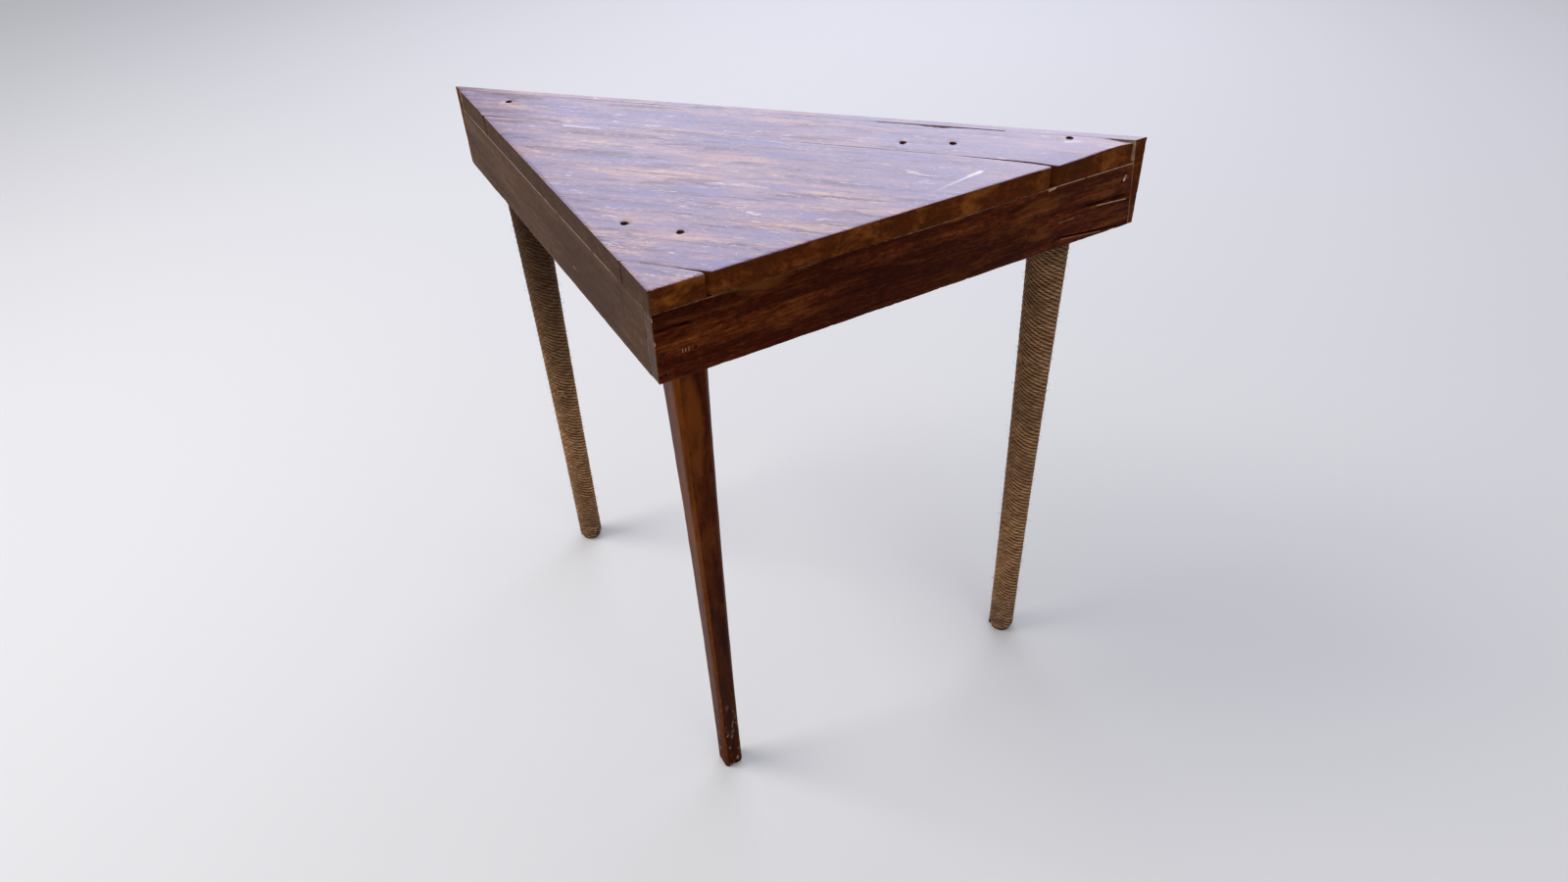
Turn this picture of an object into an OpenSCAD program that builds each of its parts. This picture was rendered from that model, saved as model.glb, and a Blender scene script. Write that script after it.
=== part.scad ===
// Three-legged triangular corner table with a board top, deep aprons and two twine-wound legs.
// Millimetres, +Z up, standing on z = 0. +X runs along the long back edge, +Y points to the back.
// Plan positions are given as [x, w]: x along the back edge from its middle, w forward from the back edge.

/* [Top] */
// Length of each short side of the triangular top
side_len = 610; // [480:1:760]
// Height of the tabletop above the floor
table_h = 760; // [600:1:900]
// Thickness of the top boards
top_t = 26; // [18:0.5:34]
// Distance of the rear joint from the back edge, on the middle line
rear_joint_w = 86; // [75:1:130]
// Depth of the small front board, from the front corner
front_board_depth = 47; // [35:1:70]
// How far the joints run out of line with the back edge, in degrees
joint_skew = 0.66; // [0:0.02:1]
// Gap in the joints where the boards meet closely
joint_gap = 0.4; // [0.2:0.1:1]
// Extra opening of the rear joint at its left end
rear_gap_left = 2.2; // [0:0.1:4]
// Extra opening of the rear joint at its right end
rear_gap_right = 4.4; // [0:0.1:6]
// Extra opening of the front joint at its right end
front_gap_right = 3; // [0:0.1:4]

/* [Aprons] */
// Height of the side aprons under the top
apron_h = 79.5; // [60:0.5:110]
// Thickness of the side aprons
apron_t = 17; // [12:0.5:22]
// Thickness of the back apron at its top edge
back_t_top = 12; // [8:0.5:16]
// Thickness of the back apron at its bottom edge
back_t_foot = 5; // [4:0.5:8]

/* [Legs] */
// Width of the square front leg where it enters the aprons
front_leg_w = 41; // [32:0.5:48]
// Width of the front leg at the floor
front_foot_w = 25; // [20:0.5:32]
// Chamfer on the front leg's arrises, as a share of its width
arris_share = 0.15; // [0.05:0.01:0.25]
// Diameter of the wound legs' cores where they enter the aprons
core_top_d = 42; // [32:0.5:46]
// Diameter of the wound legs' cores at the floor
core_foot_d = 28; // [20:0.5:34]
// Diameter of the twine
twine_d = 3.6; // [2.5:0.1:5]
// Gap between the front leg and the left apron
front_leg_gap = 5; // [0.5:0.5:8]

/* [Batten] */
// Width of the cross batten under the top
batten_w = 70; // [55:1:90]
// Thickness of the cross batten
batten_t = 19; // [14:0.5:22]
// Distance of the batten's middle line from the right side
batten_inset = 113.5; // [108:0.5:130]

/* [Hidden] */
$fn = 48;

// Overall plan and levels
half_len = side_len / sqrt(2);
plan_depth = half_len;
back_y = plan_depth / 2;
top_z = table_h - top_t;
neck_z = top_z - apron_h;
large = 4 * side_len;
through = 1;

// Clearances
seat = 0.3;
core_gap = 0.3;
back_crack = 0.5;

// Joints of the top: closed part of each joint starts this far in from its ends
rear_close_left = 60;
rear_close_right = 115;
front_close = 40;
front_joint_w = plan_depth - front_board_depth;

// Legs: clearances beside the cores, and how far each foot stands from the leg's upper end
core_side_gap = 0.8;
core_back_gap = 3.5;
flare = 2;
stations = 8;
wrap_t = twine_d;
wrap_foot_gap = 4;
wrap_neck_gap = 2.6;
left_foot_shift = [-10.7, 16];
right_foot_shift = [3.5, -25];
front_foot_shift = [12, -16.5];

// Screws
screw_head_d = 8;
screw_shank_d = 4;
screw_len = 38;
screw_hole_d = 9;
screw_sink = 5;
screw_play = 0.2;
point_len = 5;
front_pair = [[86.5, 74.5], [134.5, 35]];
rear_pair_w = [57.5, 66];
rear_pair_inset = [107, 140];
// Leg screws stand off the leg's axis by these shares of its radius, outwards and backwards
leg_screw_shares = [[0.1, 0.1], [0.38, 0.71]];

// Nails and tacks
nail_head_d = 5;
nail_head_t = 1.2;
nail_d = 2.4;
nail_len = 45;
end_nail_len = 25;
end_nail_edge = 8;
nail_play = 0.1;
edge_nail_count = 5;
edge_nail_pitch = 150;
end_nail_drops = [28, 55];
corner_nail_drops = [48, 71];
leg_nail_drops = [22, 50];
tack_head_d = 6;
tack_head_t = 1.2;
tack_d = 1.6;
tack_len = 12;
tack_end_gap = 6;

// Knot in the left winding
knot_d = 15;
knot_h = 5;
knot_z = 318;
knot_turn = -68;

// Rubbed glue blocks
block_w = 20;
block_len = 60;
left_block_at = [215, 330];
right_block_at = [150, 360];

// A plan position [x, w] as a point
function plan(p) = [p[0], back_y - p[1]];
// A plan position from its distances to the right and the left side
function from_sides(right, left) = [(left - right) / sqrt(2), plan_depth - (left + right) / sqrt(2)];
// Distance of a plan position from one side: hand is 1 for the right and -1 for the left
function to_side(p, hand) = (half_len - hand * p[0] - p[1]) / sqrt(2);
// Line of a skewed joint at distance x from the middle
function joint_w(w, x) = w + x * tan(joint_skew);
// Share of a leg's flare at height z
function flare_at(z) = pow(min(z, neck_z) / neck_z, flare);
function front_leg_w_at(z) = front_foot_w + (front_leg_w - front_foot_w) * flare_at(z);
function core_r_at(z) = (core_foot_d + (core_top_d - core_foot_d) * flare_at(z)) / 2;
// Ends of a joint on the two sides of the top
function joint_end(w, hand) = half_len - joint_w(w, hand * (half_len - w));
// Lean of a leg, as the turns that carry its foot by the given shift
function lean(shift) = [asin(shift[1] / neck_z), -asin(shift[0] / neck_z), 0];
// Plan position of a leg's axis at height z
function axis_at(p, shift, z) = [p[0] + shift[0] * (1 - z / neck_z), p[1] - shift[1] * (1 - z / neck_z)];
// Thickness of the back apron at height z
function back_t_at(z) = back_t_foot + (back_t_top - back_t_foot) * (z - neck_z) / (table_h - neck_z);

// Leg places at the underside of the aprons
core_w = back_t_top + core_top_d / 2 + core_back_gap;
core_x = half_len - core_w - sqrt(2) * (apron_t + core_top_d / 2 + core_side_gap);
left_leg_at = [-core_x, core_w];
right_leg_at = [core_x, core_w];
front_leg_at = from_sides(apron_t + front_leg_w / 2 + seat, apron_t + front_leg_w / 2 + front_leg_gap);

// Screw places
batten_screw_at = [for (s = front_pair) from_sides(s[0], s[1]),
    for (i = [0, 1]) [half_len - rear_pair_w[i] - sqrt(2) * rear_pair_inset[i], rear_pair_w[i]]];
leg_screw_at = [for (i = [0, 1])
    let (p = i == 0 ? axis_at(left_leg_at, left_foot_shift, top_z) :
        axis_at(right_leg_at, right_foot_shift, top_z))
    [p[0] + leg_screw_shares[i][0] * core_top_d / 2, p[1] - leg_screw_shares[i][1] * core_top_d / 2]];
screw_at = concat(batten_screw_at, leg_screw_at);

// Nail places on the back, as [x, z]
edge_nail_at = [for (i = [0:edge_nail_count - 1])
    [(i - (edge_nail_count - 1) / 2) * edge_nail_pitch, table_h - top_t / 2]];
end_nail_x = half_len - apron_t * sqrt(2) - end_nail_edge;
end_nail_at = [for (hand = [-1, 1], drop = end_nail_drops) [hand * end_nail_x, top_z - drop]];
rear_leg_nail_at = [for (hand = [-1, 1], drop = leg_nail_drops) [hand * core_x, top_z - drop]];

// Plan outline of the whole top
module outline() {
    polygon([plan([-half_len, 0]), plan([half_len, 0]), plan([0, plan_depth])]);
}

// A board of the top, cut from the outline by its plan polygon
module top_slab(points) {
    translate([0, 0, top_z]) linear_extrude(top_t) intersection() {
        outline();
        polygon([for (p = points) plan(p)]);
    }
}

// A screw with a countersunk head and a point, its head's face at z = 0
module screw() {
    rotate_extrude() polygon([[0, 0], [screw_head_d / 2, 0], [screw_shank_d / 2, -screw_shank_d],
        [screw_shank_d / 2, point_len - screw_len], [0, -screw_len]]);
}

// The space that a screw takes in the top: a deep plain hole, then the countersink and a clearance hole
module screw_space() {
    translate([0, 0, -screw_play]) cylinder(d = screw_hole_d, h = screw_sink + top_t);
    translate([0, 0, -screw_len - screw_play])
        cylinder(d = screw_shank_d + 2 * screw_play, h = screw_len + screw_play);
    translate([0, 0, -screw_shank_d - screw_play])
        cylinder(d1 = screw_shank_d, d2 = screw_head_d + screw_play, h = screw_shank_d + screw_play);
}

module at_screws(places) {
    for (p = places) translate([plan(p)[0], plan(p)[1], table_h - screw_sink]) children();
}

// A nail along -Z with its head's face at z = 0, grown by play where it is cut from wood
module nail(play = 0, len = nail_len) {
    translate([0, 0, -nail_head_t - play]) cylinder(d = nail_head_d + 2 * play, h = nail_head_t + 2 * play);
    translate([0, 0, -len - play]) cylinder(d = nail_d + 2 * play, h = len);
}

// Places children at [x, z] on the back face, heads out
module at_back(places) {
    for (p = places) translate([p[0], back_y, p[1]]) rotate([-90, 0, 0]) children();
}

// Places children on the right face, this far from the front corner and this far under the top boards
module at_right_face(along, drops) {
    for (drop = drops)
        translate([along / sqrt(2), along / sqrt(2) - back_y, top_z - drop])
            rotate([0, 0, -45]) rotate([0, 90, 0]) children();
}

module at_corner_nails() {
    at_right_face(apron_t / 2, corner_nail_drops) children();
}

module at_front_leg_nails() {
    at_right_face(to_side(front_leg_at, -1), leg_nail_drops) children();
}

module all_back_nails(play) {
    at_back(edge_nail_at) nail(play);
    at_back(end_nail_at) nail(play, end_nail_len);
    at_back(rear_leg_nail_at) nail(play);
}

// Leans a leg, drawn upright with its foot at z = 0, so that its foot stands off by the shift
module leaning(at, shift) {
    translate([plan(at)[0], plan(at)[1], neck_z]) rotate(lean(shift)) translate([0, 0, -neck_z]) children();
}

// Trims a leaning leg flat at the floor and under the top
module between_floor_and_top() {
    intersection() {
        children();
        translate([-large / 2, -large / 2, 0]) cube([large, large, top_z]);
    }
}

// Upright flared blank of the front leg, share of its width wide, seen from one side
module leg_side(share) {
    zs = [for (i = [0:stations]) neck_z * i / stations];
    right = [for (z = zs) [share * front_leg_w_at(z), z]];
    left = [for (i = [stations:-1:0]) [-share * front_leg_w_at(zs[i]), zs[i]]];
    neck = share * front_leg_w;
    over = top_z + top_t;
    rotate([90, 0, 0]) linear_extrude(2 * front_leg_w, center = true)
        polygon(concat([[share * front_foot_w, -top_t]], right, [[neck, over], [-neck, over]], left,
            [[-share * front_foot_w, -top_t]]));
}

module turned(extra, z0, z1) {
    zs = [for (i = [0:stations]) z0 + (min(z1, neck_z) - z0) * i / stations];
    rotate_extrude() polygon(concat([[0, z0]], [for (z = zs) [core_r_at(max(z, 0)) + extra, z]],
        [[core_r_at(z1) + extra, z1], [0, z1]]));
}

module core(at, shift) {
    difference() {
        between_floor_and_top() leaning(at, shift) turned(0, -top_t, top_z + top_t);
        at_screws(leg_screw_at) screw_space();
        at_back(rear_leg_nail_at) nail(nail_play);
        twine_tacks_on(at, shift, nail_play);
    }
}

module twine_wrap(at, shift) {
    z0 = wrap_foot_gap;
    z1 = neck_z - wrap_neck_gap;
    difference() {
        leaning(at, shift) difference() {
            turned(core_gap + wrap_t, z0, z1);
            turned(core_gap, z0 - through, z1 + through);
        }
        twine_tacks_on(at, shift, nail_play);
    }
}

// One tack near each end of a winding, on its inner side
module twine_tacks_on(at, shift, play = 0) {
    turn = atan2(at[1] - plan_depth / 2, -at[0]);
    for (z = [wrap_foot_gap + tack_end_gap, neck_z - wrap_neck_gap - tack_end_gap]) {
        face = core_r_at(z) + core_gap + wrap_t + tack_head_t;
        leaning(at, shift) translate([0, 0, z]) rotate([0, 0, turn]) rotate([0, 90, 0]) {
            translate([0, 0, face - tack_head_t]) cylinder(d = tack_head_d + 2 * play, h = tack_head_t);
            translate([0, 0, face - tack_len]) cylinder(d = tack_d + 2 * play, h = tack_len);
        }
    }
}

// A rubbed glue block in the angle between a side apron and the top, this far from the front corner
module glue_block(hand, along) {
    translate([hand * along / sqrt(2), along / sqrt(2) - back_y, 0]) rotate([0, 0, hand > 0 ? 45 : 135])
        translate([-block_len / 2, 0, 0]) rotate([90, 0, 90])
            linear_extrude(block_len) mirror([hand > 0 ? 0 : 1, 0])
                polygon([[apron_t, top_z], [apron_t + block_w, top_z], [apron_t, top_z - block_w]]);
}

// Wedge section of the back apron, run past both ends; over carries it past its own faces as a cutter
module back_apron_blank(over = 0) {
    translate([-large / 2, 0, 0]) rotate([90, 0, 90]) linear_extrude(large)
        polygon([[back_y + over, neck_z - over], [back_y + over, table_h + over],
            [back_y - back_t_at(table_h + over), table_h + over],
            [back_y - back_t_at(neck_z - over), neck_z - over]]);
}

module side_apron(points) {
    difference() {
        translate([0, 0, neck_z]) linear_extrude(apron_h) polygon([for (p = points) plan(p)]);
        back_apron_blank(through);
        all_back_nails(nail_play);
        at_corner_nails() nail(nail_play);
        at_front_leg_nails() nail(nail_play);
    }
}

module top_board_back() {
    color("sienna") difference() {
        top_slab([[-half_len, back_t_top + back_crack], [half_len, back_t_top + back_crack],
            [half_len, joint_w(rear_joint_w, half_len) - joint_gap / 2],
            [-half_len, joint_w(rear_joint_w, -half_len) - joint_gap / 2]]);
        at_screws(screw_at) screw_space();
        all_back_nails(nail_play);
    }
}

module top_board_middle() {
    w = rear_joint_w + joint_gap / 2;
    left = joint_end(w, -1);
    right = joint_end(w, 1);
    front = front_joint_w - joint_gap / 2;
    color("sienna") difference() {
        top_slab([[-left, joint_w(w, -left) + rear_gap_left],
            [rear_close_left - left, joint_w(w, rear_close_left - left)],
            [right - rear_close_right, joint_w(w, right - rear_close_right)],
            [right, joint_w(w, right) + rear_gap_right], [half_len, joint_w(w, right) + rear_gap_right],
            [half_len, joint_w(front, half_len)], [-half_len, joint_w(front, -half_len)],
            [-half_len, joint_w(w, -left) + rear_gap_left]]);
        at_screws(screw_at) screw_space();
    }
}

module top_board_front() {
    w = front_joint_w + joint_gap / 2;
    right = joint_end(w, 1);
    color("sienna") top_slab([[-half_len, joint_w(w, -half_len)],
        [right - front_close, joint_w(w, right - front_close)], [right, joint_w(w, right) + front_gap_right],
        [half_len, joint_w(w, right) + front_gap_right], [half_len, plan_depth + through],
        [-half_len, plan_depth + through]]);
}

module back_apron() {
    color("saddlebrown") difference() {
        intersection() {
            back_apron_blank();
            linear_extrude(table_h) outline();
        }
        all_back_nails(nail_play);
    }
}

module left_apron() {
    t = apron_t;
    color("peru") side_apron([[-t / sqrt(2), plan_depth - t / sqrt(2)], [-half_len, 0],
        [t * sqrt(2) - half_len, 0], [0, plan_depth - t * sqrt(2)]]);
}

module right_apron() {
    t = apron_t;
    color("saddlebrown") side_apron([[0, plan_depth], [half_len, 0], [half_len - t * sqrt(2), 0],
        [-t / sqrt(2), plan_depth - t / sqrt(2)]]);
}

module cross_batten() {
    near = batten_inset - batten_w / 2;
    far = batten_inset + batten_w / 2;
    left = apron_t + seat;
    rear_w = back_t_at(top_z) + seat;
    color("burlywood") difference() {
        translate([0, 0, top_z - batten_t]) linear_extrude(batten_t)
            polygon([for (p = [from_sides(near, left), [half_len - rear_w - sqrt(2) * near, rear_w],
                [half_len - rear_w - sqrt(2) * far, rear_w], from_sides(far, left)]) plan(p)]);
        at_screws(batten_screw_at) screw_space();
    }
}

module front_leg() {
    arris = (1 - arris_share) / sqrt(2);
    color("saddlebrown") difference() {
        between_floor_and_top() leaning(front_leg_at, front_foot_shift) rotate([0, 0, 45]) intersection() {
            leg_side(0.5);
            rotate([0, 0, 90]) leg_side(0.5);
            rotate([0, 0, 45]) leg_side(arris);
            rotate([0, 0, -45]) leg_side(arris);
        }
        at_front_leg_nails() nail(nail_play);
    }
}

module left_leg_core() {
    color("tan") core(left_leg_at, left_foot_shift);
}

module right_leg_core() {
    color("tan") core(right_leg_at, right_foot_shift);
}

module left_twine_wrap() {
    color("darkkhaki") twine_wrap(left_leg_at, left_foot_shift);
}

module right_twine_wrap() {
    color("darkkhaki") twine_wrap(right_leg_at, right_foot_shift);
}

// A low domed button of twine on the winding's outer face
module twine_knot() {
    face = core_r_at(knot_z) + core_gap + wrap_t;
    color("darkkhaki") leaning(left_leg_at, left_foot_shift) translate([0, 0, knot_z])
        rotate([0, 0, knot_turn]) translate([face + seat, 0, 0]) rotate([0, 90, 0])
            rotate_extrude() intersection() {
                knot_dome();
                square([knot_d, knot_d]);
            }
}

// Half section of the knot's dome: an arc through its rim and its crown
module knot_dome() {
    r = (knot_d * knot_d / 4 + knot_h * knot_h) / (2 * knot_h);
    translate([0, knot_h - r]) circle(r);
}

module twine_tacks() {
    color("dimgray") {
        twine_tacks_on(left_leg_at, left_foot_shift);
        twine_tacks_on(right_leg_at, right_foot_shift);
    }
}

module left_glue_blocks() {
    color("burlywood") for (along = left_block_at) glue_block(-1, along);
}

module right_glue_blocks() {
    color("burlywood") for (along = right_block_at) glue_block(1, along);
}

module batten_screws() {
    color("dimgray") at_screws(batten_screw_at) screw();
}

module leg_screws() {
    color("dimgray") at_screws(leg_screw_at) screw();
}

module corner_nails() {
    color("gray") at_corner_nails() nail();
}

module front_leg_nails() {
    color("gray") at_front_leg_nails() nail();
}

module back_edge_nails() {
    color("gray") at_back(edge_nail_at) nail();
}

module back_end_nails() {
    color("gray") at_back(end_nail_at) nail(0, end_nail_len);
}

module rear_leg_nails() {
    color("gray") at_back(rear_leg_nail_at) nail();
}

top_board_back();
top_board_middle();
top_board_front();
back_apron();
left_apron();
right_apron();
cross_batten();
front_leg();
left_leg_core();
right_leg_core();
left_twine_wrap();
right_twine_wrap();
twine_knot();
twine_tacks();
left_glue_blocks();
right_glue_blocks();
batten_screws();
leg_screws();
corner_nails();
front_leg_nails();
back_edge_nails();
back_end_nails();
rear_leg_nails();
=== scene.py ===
import math
import random

import bmesh
import bpy
import numpy as np
from mathutils import Matrix, Vector, geometry


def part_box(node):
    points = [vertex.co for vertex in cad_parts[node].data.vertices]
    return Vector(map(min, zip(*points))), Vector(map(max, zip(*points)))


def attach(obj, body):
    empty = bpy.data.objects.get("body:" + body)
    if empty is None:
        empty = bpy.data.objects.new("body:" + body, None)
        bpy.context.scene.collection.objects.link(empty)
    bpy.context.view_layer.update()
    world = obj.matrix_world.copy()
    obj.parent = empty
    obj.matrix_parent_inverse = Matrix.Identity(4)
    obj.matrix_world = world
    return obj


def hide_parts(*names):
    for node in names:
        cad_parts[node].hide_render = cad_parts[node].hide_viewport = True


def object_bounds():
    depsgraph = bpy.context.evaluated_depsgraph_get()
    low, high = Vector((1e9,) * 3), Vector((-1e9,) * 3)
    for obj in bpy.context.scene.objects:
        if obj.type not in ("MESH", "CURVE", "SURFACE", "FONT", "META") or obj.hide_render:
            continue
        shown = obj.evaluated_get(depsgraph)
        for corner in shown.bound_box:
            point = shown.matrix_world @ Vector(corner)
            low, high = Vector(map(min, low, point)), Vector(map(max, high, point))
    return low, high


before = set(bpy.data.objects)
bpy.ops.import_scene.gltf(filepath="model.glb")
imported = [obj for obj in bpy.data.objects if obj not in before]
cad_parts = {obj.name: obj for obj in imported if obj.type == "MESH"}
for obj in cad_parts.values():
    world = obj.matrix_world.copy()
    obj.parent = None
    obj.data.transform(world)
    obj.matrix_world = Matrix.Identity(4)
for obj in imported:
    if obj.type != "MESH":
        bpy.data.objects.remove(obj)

# The frame's own box, kept before any visual piece is made
CAD_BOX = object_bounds()

bl_info = {
    "name": "Corner table with wound legs",
    "version": (1, 0, 0),
    "blender": (4, 5, 0),
    "location": "View3D > Sidebar > Corner table",
    "description": "Builds the boards, aprons, legs, jute winding and fixings of a triangular corner table",
    "category": "Object",
}

MM = 0.001
ROOT = "root"
SQ = math.sqrt(0.5)
# Plan directions of the two short sides, from the front corner, and their outward normals
SIDE_RUN = {1: Vector((SQ, SQ, 0)), -1: Vector((-SQ, SQ, 0))}
SIDE_OUT = {1: Vector((SQ, -SQ, 0)), -1: Vector((-SQ, -SQ, 0))}
UP = Vector((0, 0, 1))
FULL_TURN = 2 * math.pi
# Two heights or points closer than this count as the same
NEAR = 0.05 * MM
# Air between a leg's core and the winding on it
CORE_GAP = 0.3 * MM
# Colour of the shine on amber varnish
WARM_TINT = (1.0, 0.24, 0.06)


# ---------------------------------------------------------------- measures taken from the frame

def node_points(name):
    """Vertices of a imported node, as an array."""
    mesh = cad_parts[name].data
    co = np.zeros(len(mesh.vertices) * 3)
    mesh.vertices.foreach_get("co", co)
    return co.reshape(-1, 3)


def plan_outline(name):
    """Corners of a board's plan outline, anticlockwise, without points that lie on a straight edge."""
    co = node_points(name)
    upper = co[abs(co[:, 2] - co[:, 2].max()) < NEAR]
    flat = [Vector(p) for p in np.unique(upper[:, :2].round(6), axis=0)]
    hull = [flat[i] for i in geometry.convex_hull_2d(flat)]
    kept = []
    for i, p in enumerate(hull):
        a, b = hull[i - 1], hull[(i + 1) % len(hull)]
        if abs((p - a).normalized().cross((b - p).normalized())) > 0.004:
            kept.append((p.x, p.y))
    return kept


def leg_axis(name):
    """Foot centre and top centre of a leaning leg."""
    co = node_points(name)
    ends = []
    for z in (co[:, 2].min(), co[:, 2].max()):
        ring = co[abs(co[:, 2] - z) < NEAR]
        middle = (ring.min(0) + ring.max(0)) / 2
        ends.append(Vector((middle[0], middle[1], z)))
    return ends


def width_along(name, z, way, reach=NEAR):
    """Extent of a node's vertices near height z, measured along a plan direction."""
    co = node_points(name)
    near = co[abs(co[:, 2] - z) < reach]
    along = near @ np.array(way)
    return float(along.max() - along.min())


def loose_solids(name):
    """Vertex arrays of the separate solids in one node."""
    bm = bmesh.new()
    bm.from_mesh(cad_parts[name].data)
    bmesh.ops.remove_doubles(bm, verts=bm.verts, dist=0.01 * MM)
    seen, groups = set(), []
    for start in bm.verts:
        if start in seen:
            continue
        stack, group = [start], []
        seen.add(start)
        while stack:
            v = stack.pop()
            group.append(tuple(v.co))
            for e in v.link_edges:
                other = e.other_vert(v)
                if other not in seen:
                    seen.add(other)
                    stack.append(other)
        groups.append(np.array(group))
    bm.free()
    return sorted(groups, key=lambda g: tuple(g.mean(0).round(4)))


def fixings(name):
    """Head centre and outward axis of each nail, screw or tack in a node."""
    found = []
    for co in loose_solids(name):
        mid = co.mean(0)
        axis = np.linalg.svd(co - mid)[2][0]
        along = (co - mid) @ axis
        ends = []
        for end in (along.max(), along.min()):
            ring = co[abs(along - end) < 0.3 * MM]
            radius = np.linalg.norm(ring - ring.mean(0), axis=1).max()
            ends.append((radius, ring.mean(0), math.copysign(1, end)))
        head = max(ends, key=lambda e: e[0])
        found.append((Vector(head[1]), Vector(axis * head[2])))
    return found


def table_sizes():
    """The few sizes that every piece is placed from, in metres."""
    low, high = CAD_BOX
    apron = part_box("right_apron")
    across = (0, 1, 0)
    return {
        "half": high[0],
        "back": high[1],
        "front": low[1],
        "top": high[2],
        "under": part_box("top_board_middle")[0].z,
        "neck": apron[0].z,
        "apron_h": apron[1].z - apron[0].z,
        "side": high[0] / SQ,
        "back_t": (width_along("back_apron", apron[0].z, across), width_along("back_apron", high[2], across)),
    }


# ---------------------------------------------------------------- smooth random fields

def field(x, y, seed):
    """Smooth random numbers from -1 to 1 over a plane, one lattice cell per unit."""
    xi, yi = np.floor(x), np.floor(y)
    fx, fy = x - xi, y - yi
    fx, fy = fx * fx * (3 - 2 * fx), fy * fy * (3 - 2 * fy)

    def corner(i, j):
        h = np.sin(i * 127.1 + j * 311.7 + seed * 74.7) * 43758.5453
        return (h - np.floor(h)) * 2 - 1

    low = corner(xi, yi) * (1 - fx) + corner(xi + 1, yi) * fx
    high = corner(xi, yi + 1) * (1 - fx) + corner(xi + 1, yi + 1) * fx
    return low * (1 - fy) + high * fy


def path_distance(points, path):
    """Distance of each point to a path, and how far along the path its nearest point is, from 0 to 1."""
    best = np.full(len(points), 1e9)
    along = np.zeros(len(points))
    path = np.array(path, float)
    lengths = np.linalg.norm(np.diff(path, axis=0), axis=1)
    total, done = lengths.sum(), 0.0
    for a, b, length in zip(path[:-1], path[1:], lengths):
        t = np.clip(((points - a) @ (b - a)) / length ** 2, 0, 1)
        gap = np.linalg.norm(points - (a + t[:, None] * (b - a)), axis=1)
        nearer = gap < best
        best[nearer] = gap[nearer]
        along[nearer] = (done + t[nearer] * length) / total
        done += length
    return best, along


# ---------------------------------------------------------------- boards

def outline_pair(corners, step, guard):
    """Points round a convex polygon with small fillets, and each one's way in, for each metre of guard."""
    corners = [(Vector(c[:2]), c[2] if len(c) > 2 else 1.5 * MM) for c in corners]
    if sum(a[0].cross(b[0]) for a, b in zip(corners, corners[1:] + corners[:1])) < 0:
        corners.reverse()
    count = len(corners)
    runs = [corners[(i + 1) % count][0] - corners[i][0] for i in range(count)]
    moved = []
    for i in range(count):
        p, before, after = corners[i][0], runs[i - 1].normalized(), runs[i].normalized()
        half = math.pi / 2 - before.angle(after) / 2
        bisector = (after - before).normalized()
        moved.append(p + bisector * guard / math.sin(half))

    def ring(points, radii):
        arcs = []
        for i in range(count):
            p, before, after = points[i], points[i - 1] - points[i], points[(i + 1) % count] - points[i]
            a, b = before.normalized(), after.normalized()
            cut = min(radii[i] / math.tan(a.angle(b) / 2), before.length * 0.3, after.length * 0.3)
            start, end = p + a * cut, p + b * cut
            arcs.append([start.lerp(p, t).lerp(p.lerp(end, t), t) for t in (0, 0.25, 0.5, 0.75, 1)])
        out = []
        for i, arc in enumerate(arcs):
            after = arcs[(i + 1) % count][0]
            steps = max(1, round(runs[i].length / step))
            out += arc + [arc[-1].lerp(after, k / steps) for k in range(1, steps)]
        return np.array([tuple(p) for p in out])

    outer = ring([c[0] for c in corners], [c[1] for c in corners])
    inner = ring(moved, [0.4 * MM] * count)
    return outer, (inner - outer) / guard


def inside(points, ring):
    """Which points lie inside a closed ring."""
    x, y = points[:, 0], points[:, 1]
    result = np.zeros(len(points), bool)
    for (x0, y0), (x1, y1) in zip(ring, np.roll(ring, -1, 0)):
        cross = (y0 > y) != (y1 > y)
        with np.errstate(divide="ignore", invalid="ignore"):
            hit = x < (x1 - x0) * (y - y0) / (y1 - y0) + x0
        result ^= cross & hit
    return result


def filled(ring, holes, extra):
    """Triangles that fill a ring round its holes, with extra points inside; holes are rings too."""
    coords = [Vector(p) for p in ring]
    edges = [(i, (i + 1) % len(ring)) for i in range(len(ring))]
    for hole in holes:
        base = len(coords)
        coords += [Vector(p) for p in hole]
        edges += [(base + i, base + (i + 1) % len(hole)) for i in range(len(hole))]
    coords += [Vector(p) for p in extra]
    verts, _, faces, origin, _, _ = geometry.delaunay_2d_cdt(coords, edges, [], 1, 1e-7)
    points = np.array([tuple(v) for v in verts])
    source = [o[0] if o else -1 for o in origin]
    centres = np.array([points[list(f)].mean(0) for f in faces])
    keep = inside(centres, ring)
    for hole in holes:
        keep &= ~inside(centres, np.array(hole))
    return points, source, [f for f, k in zip(faces, keep) if k]


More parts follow.
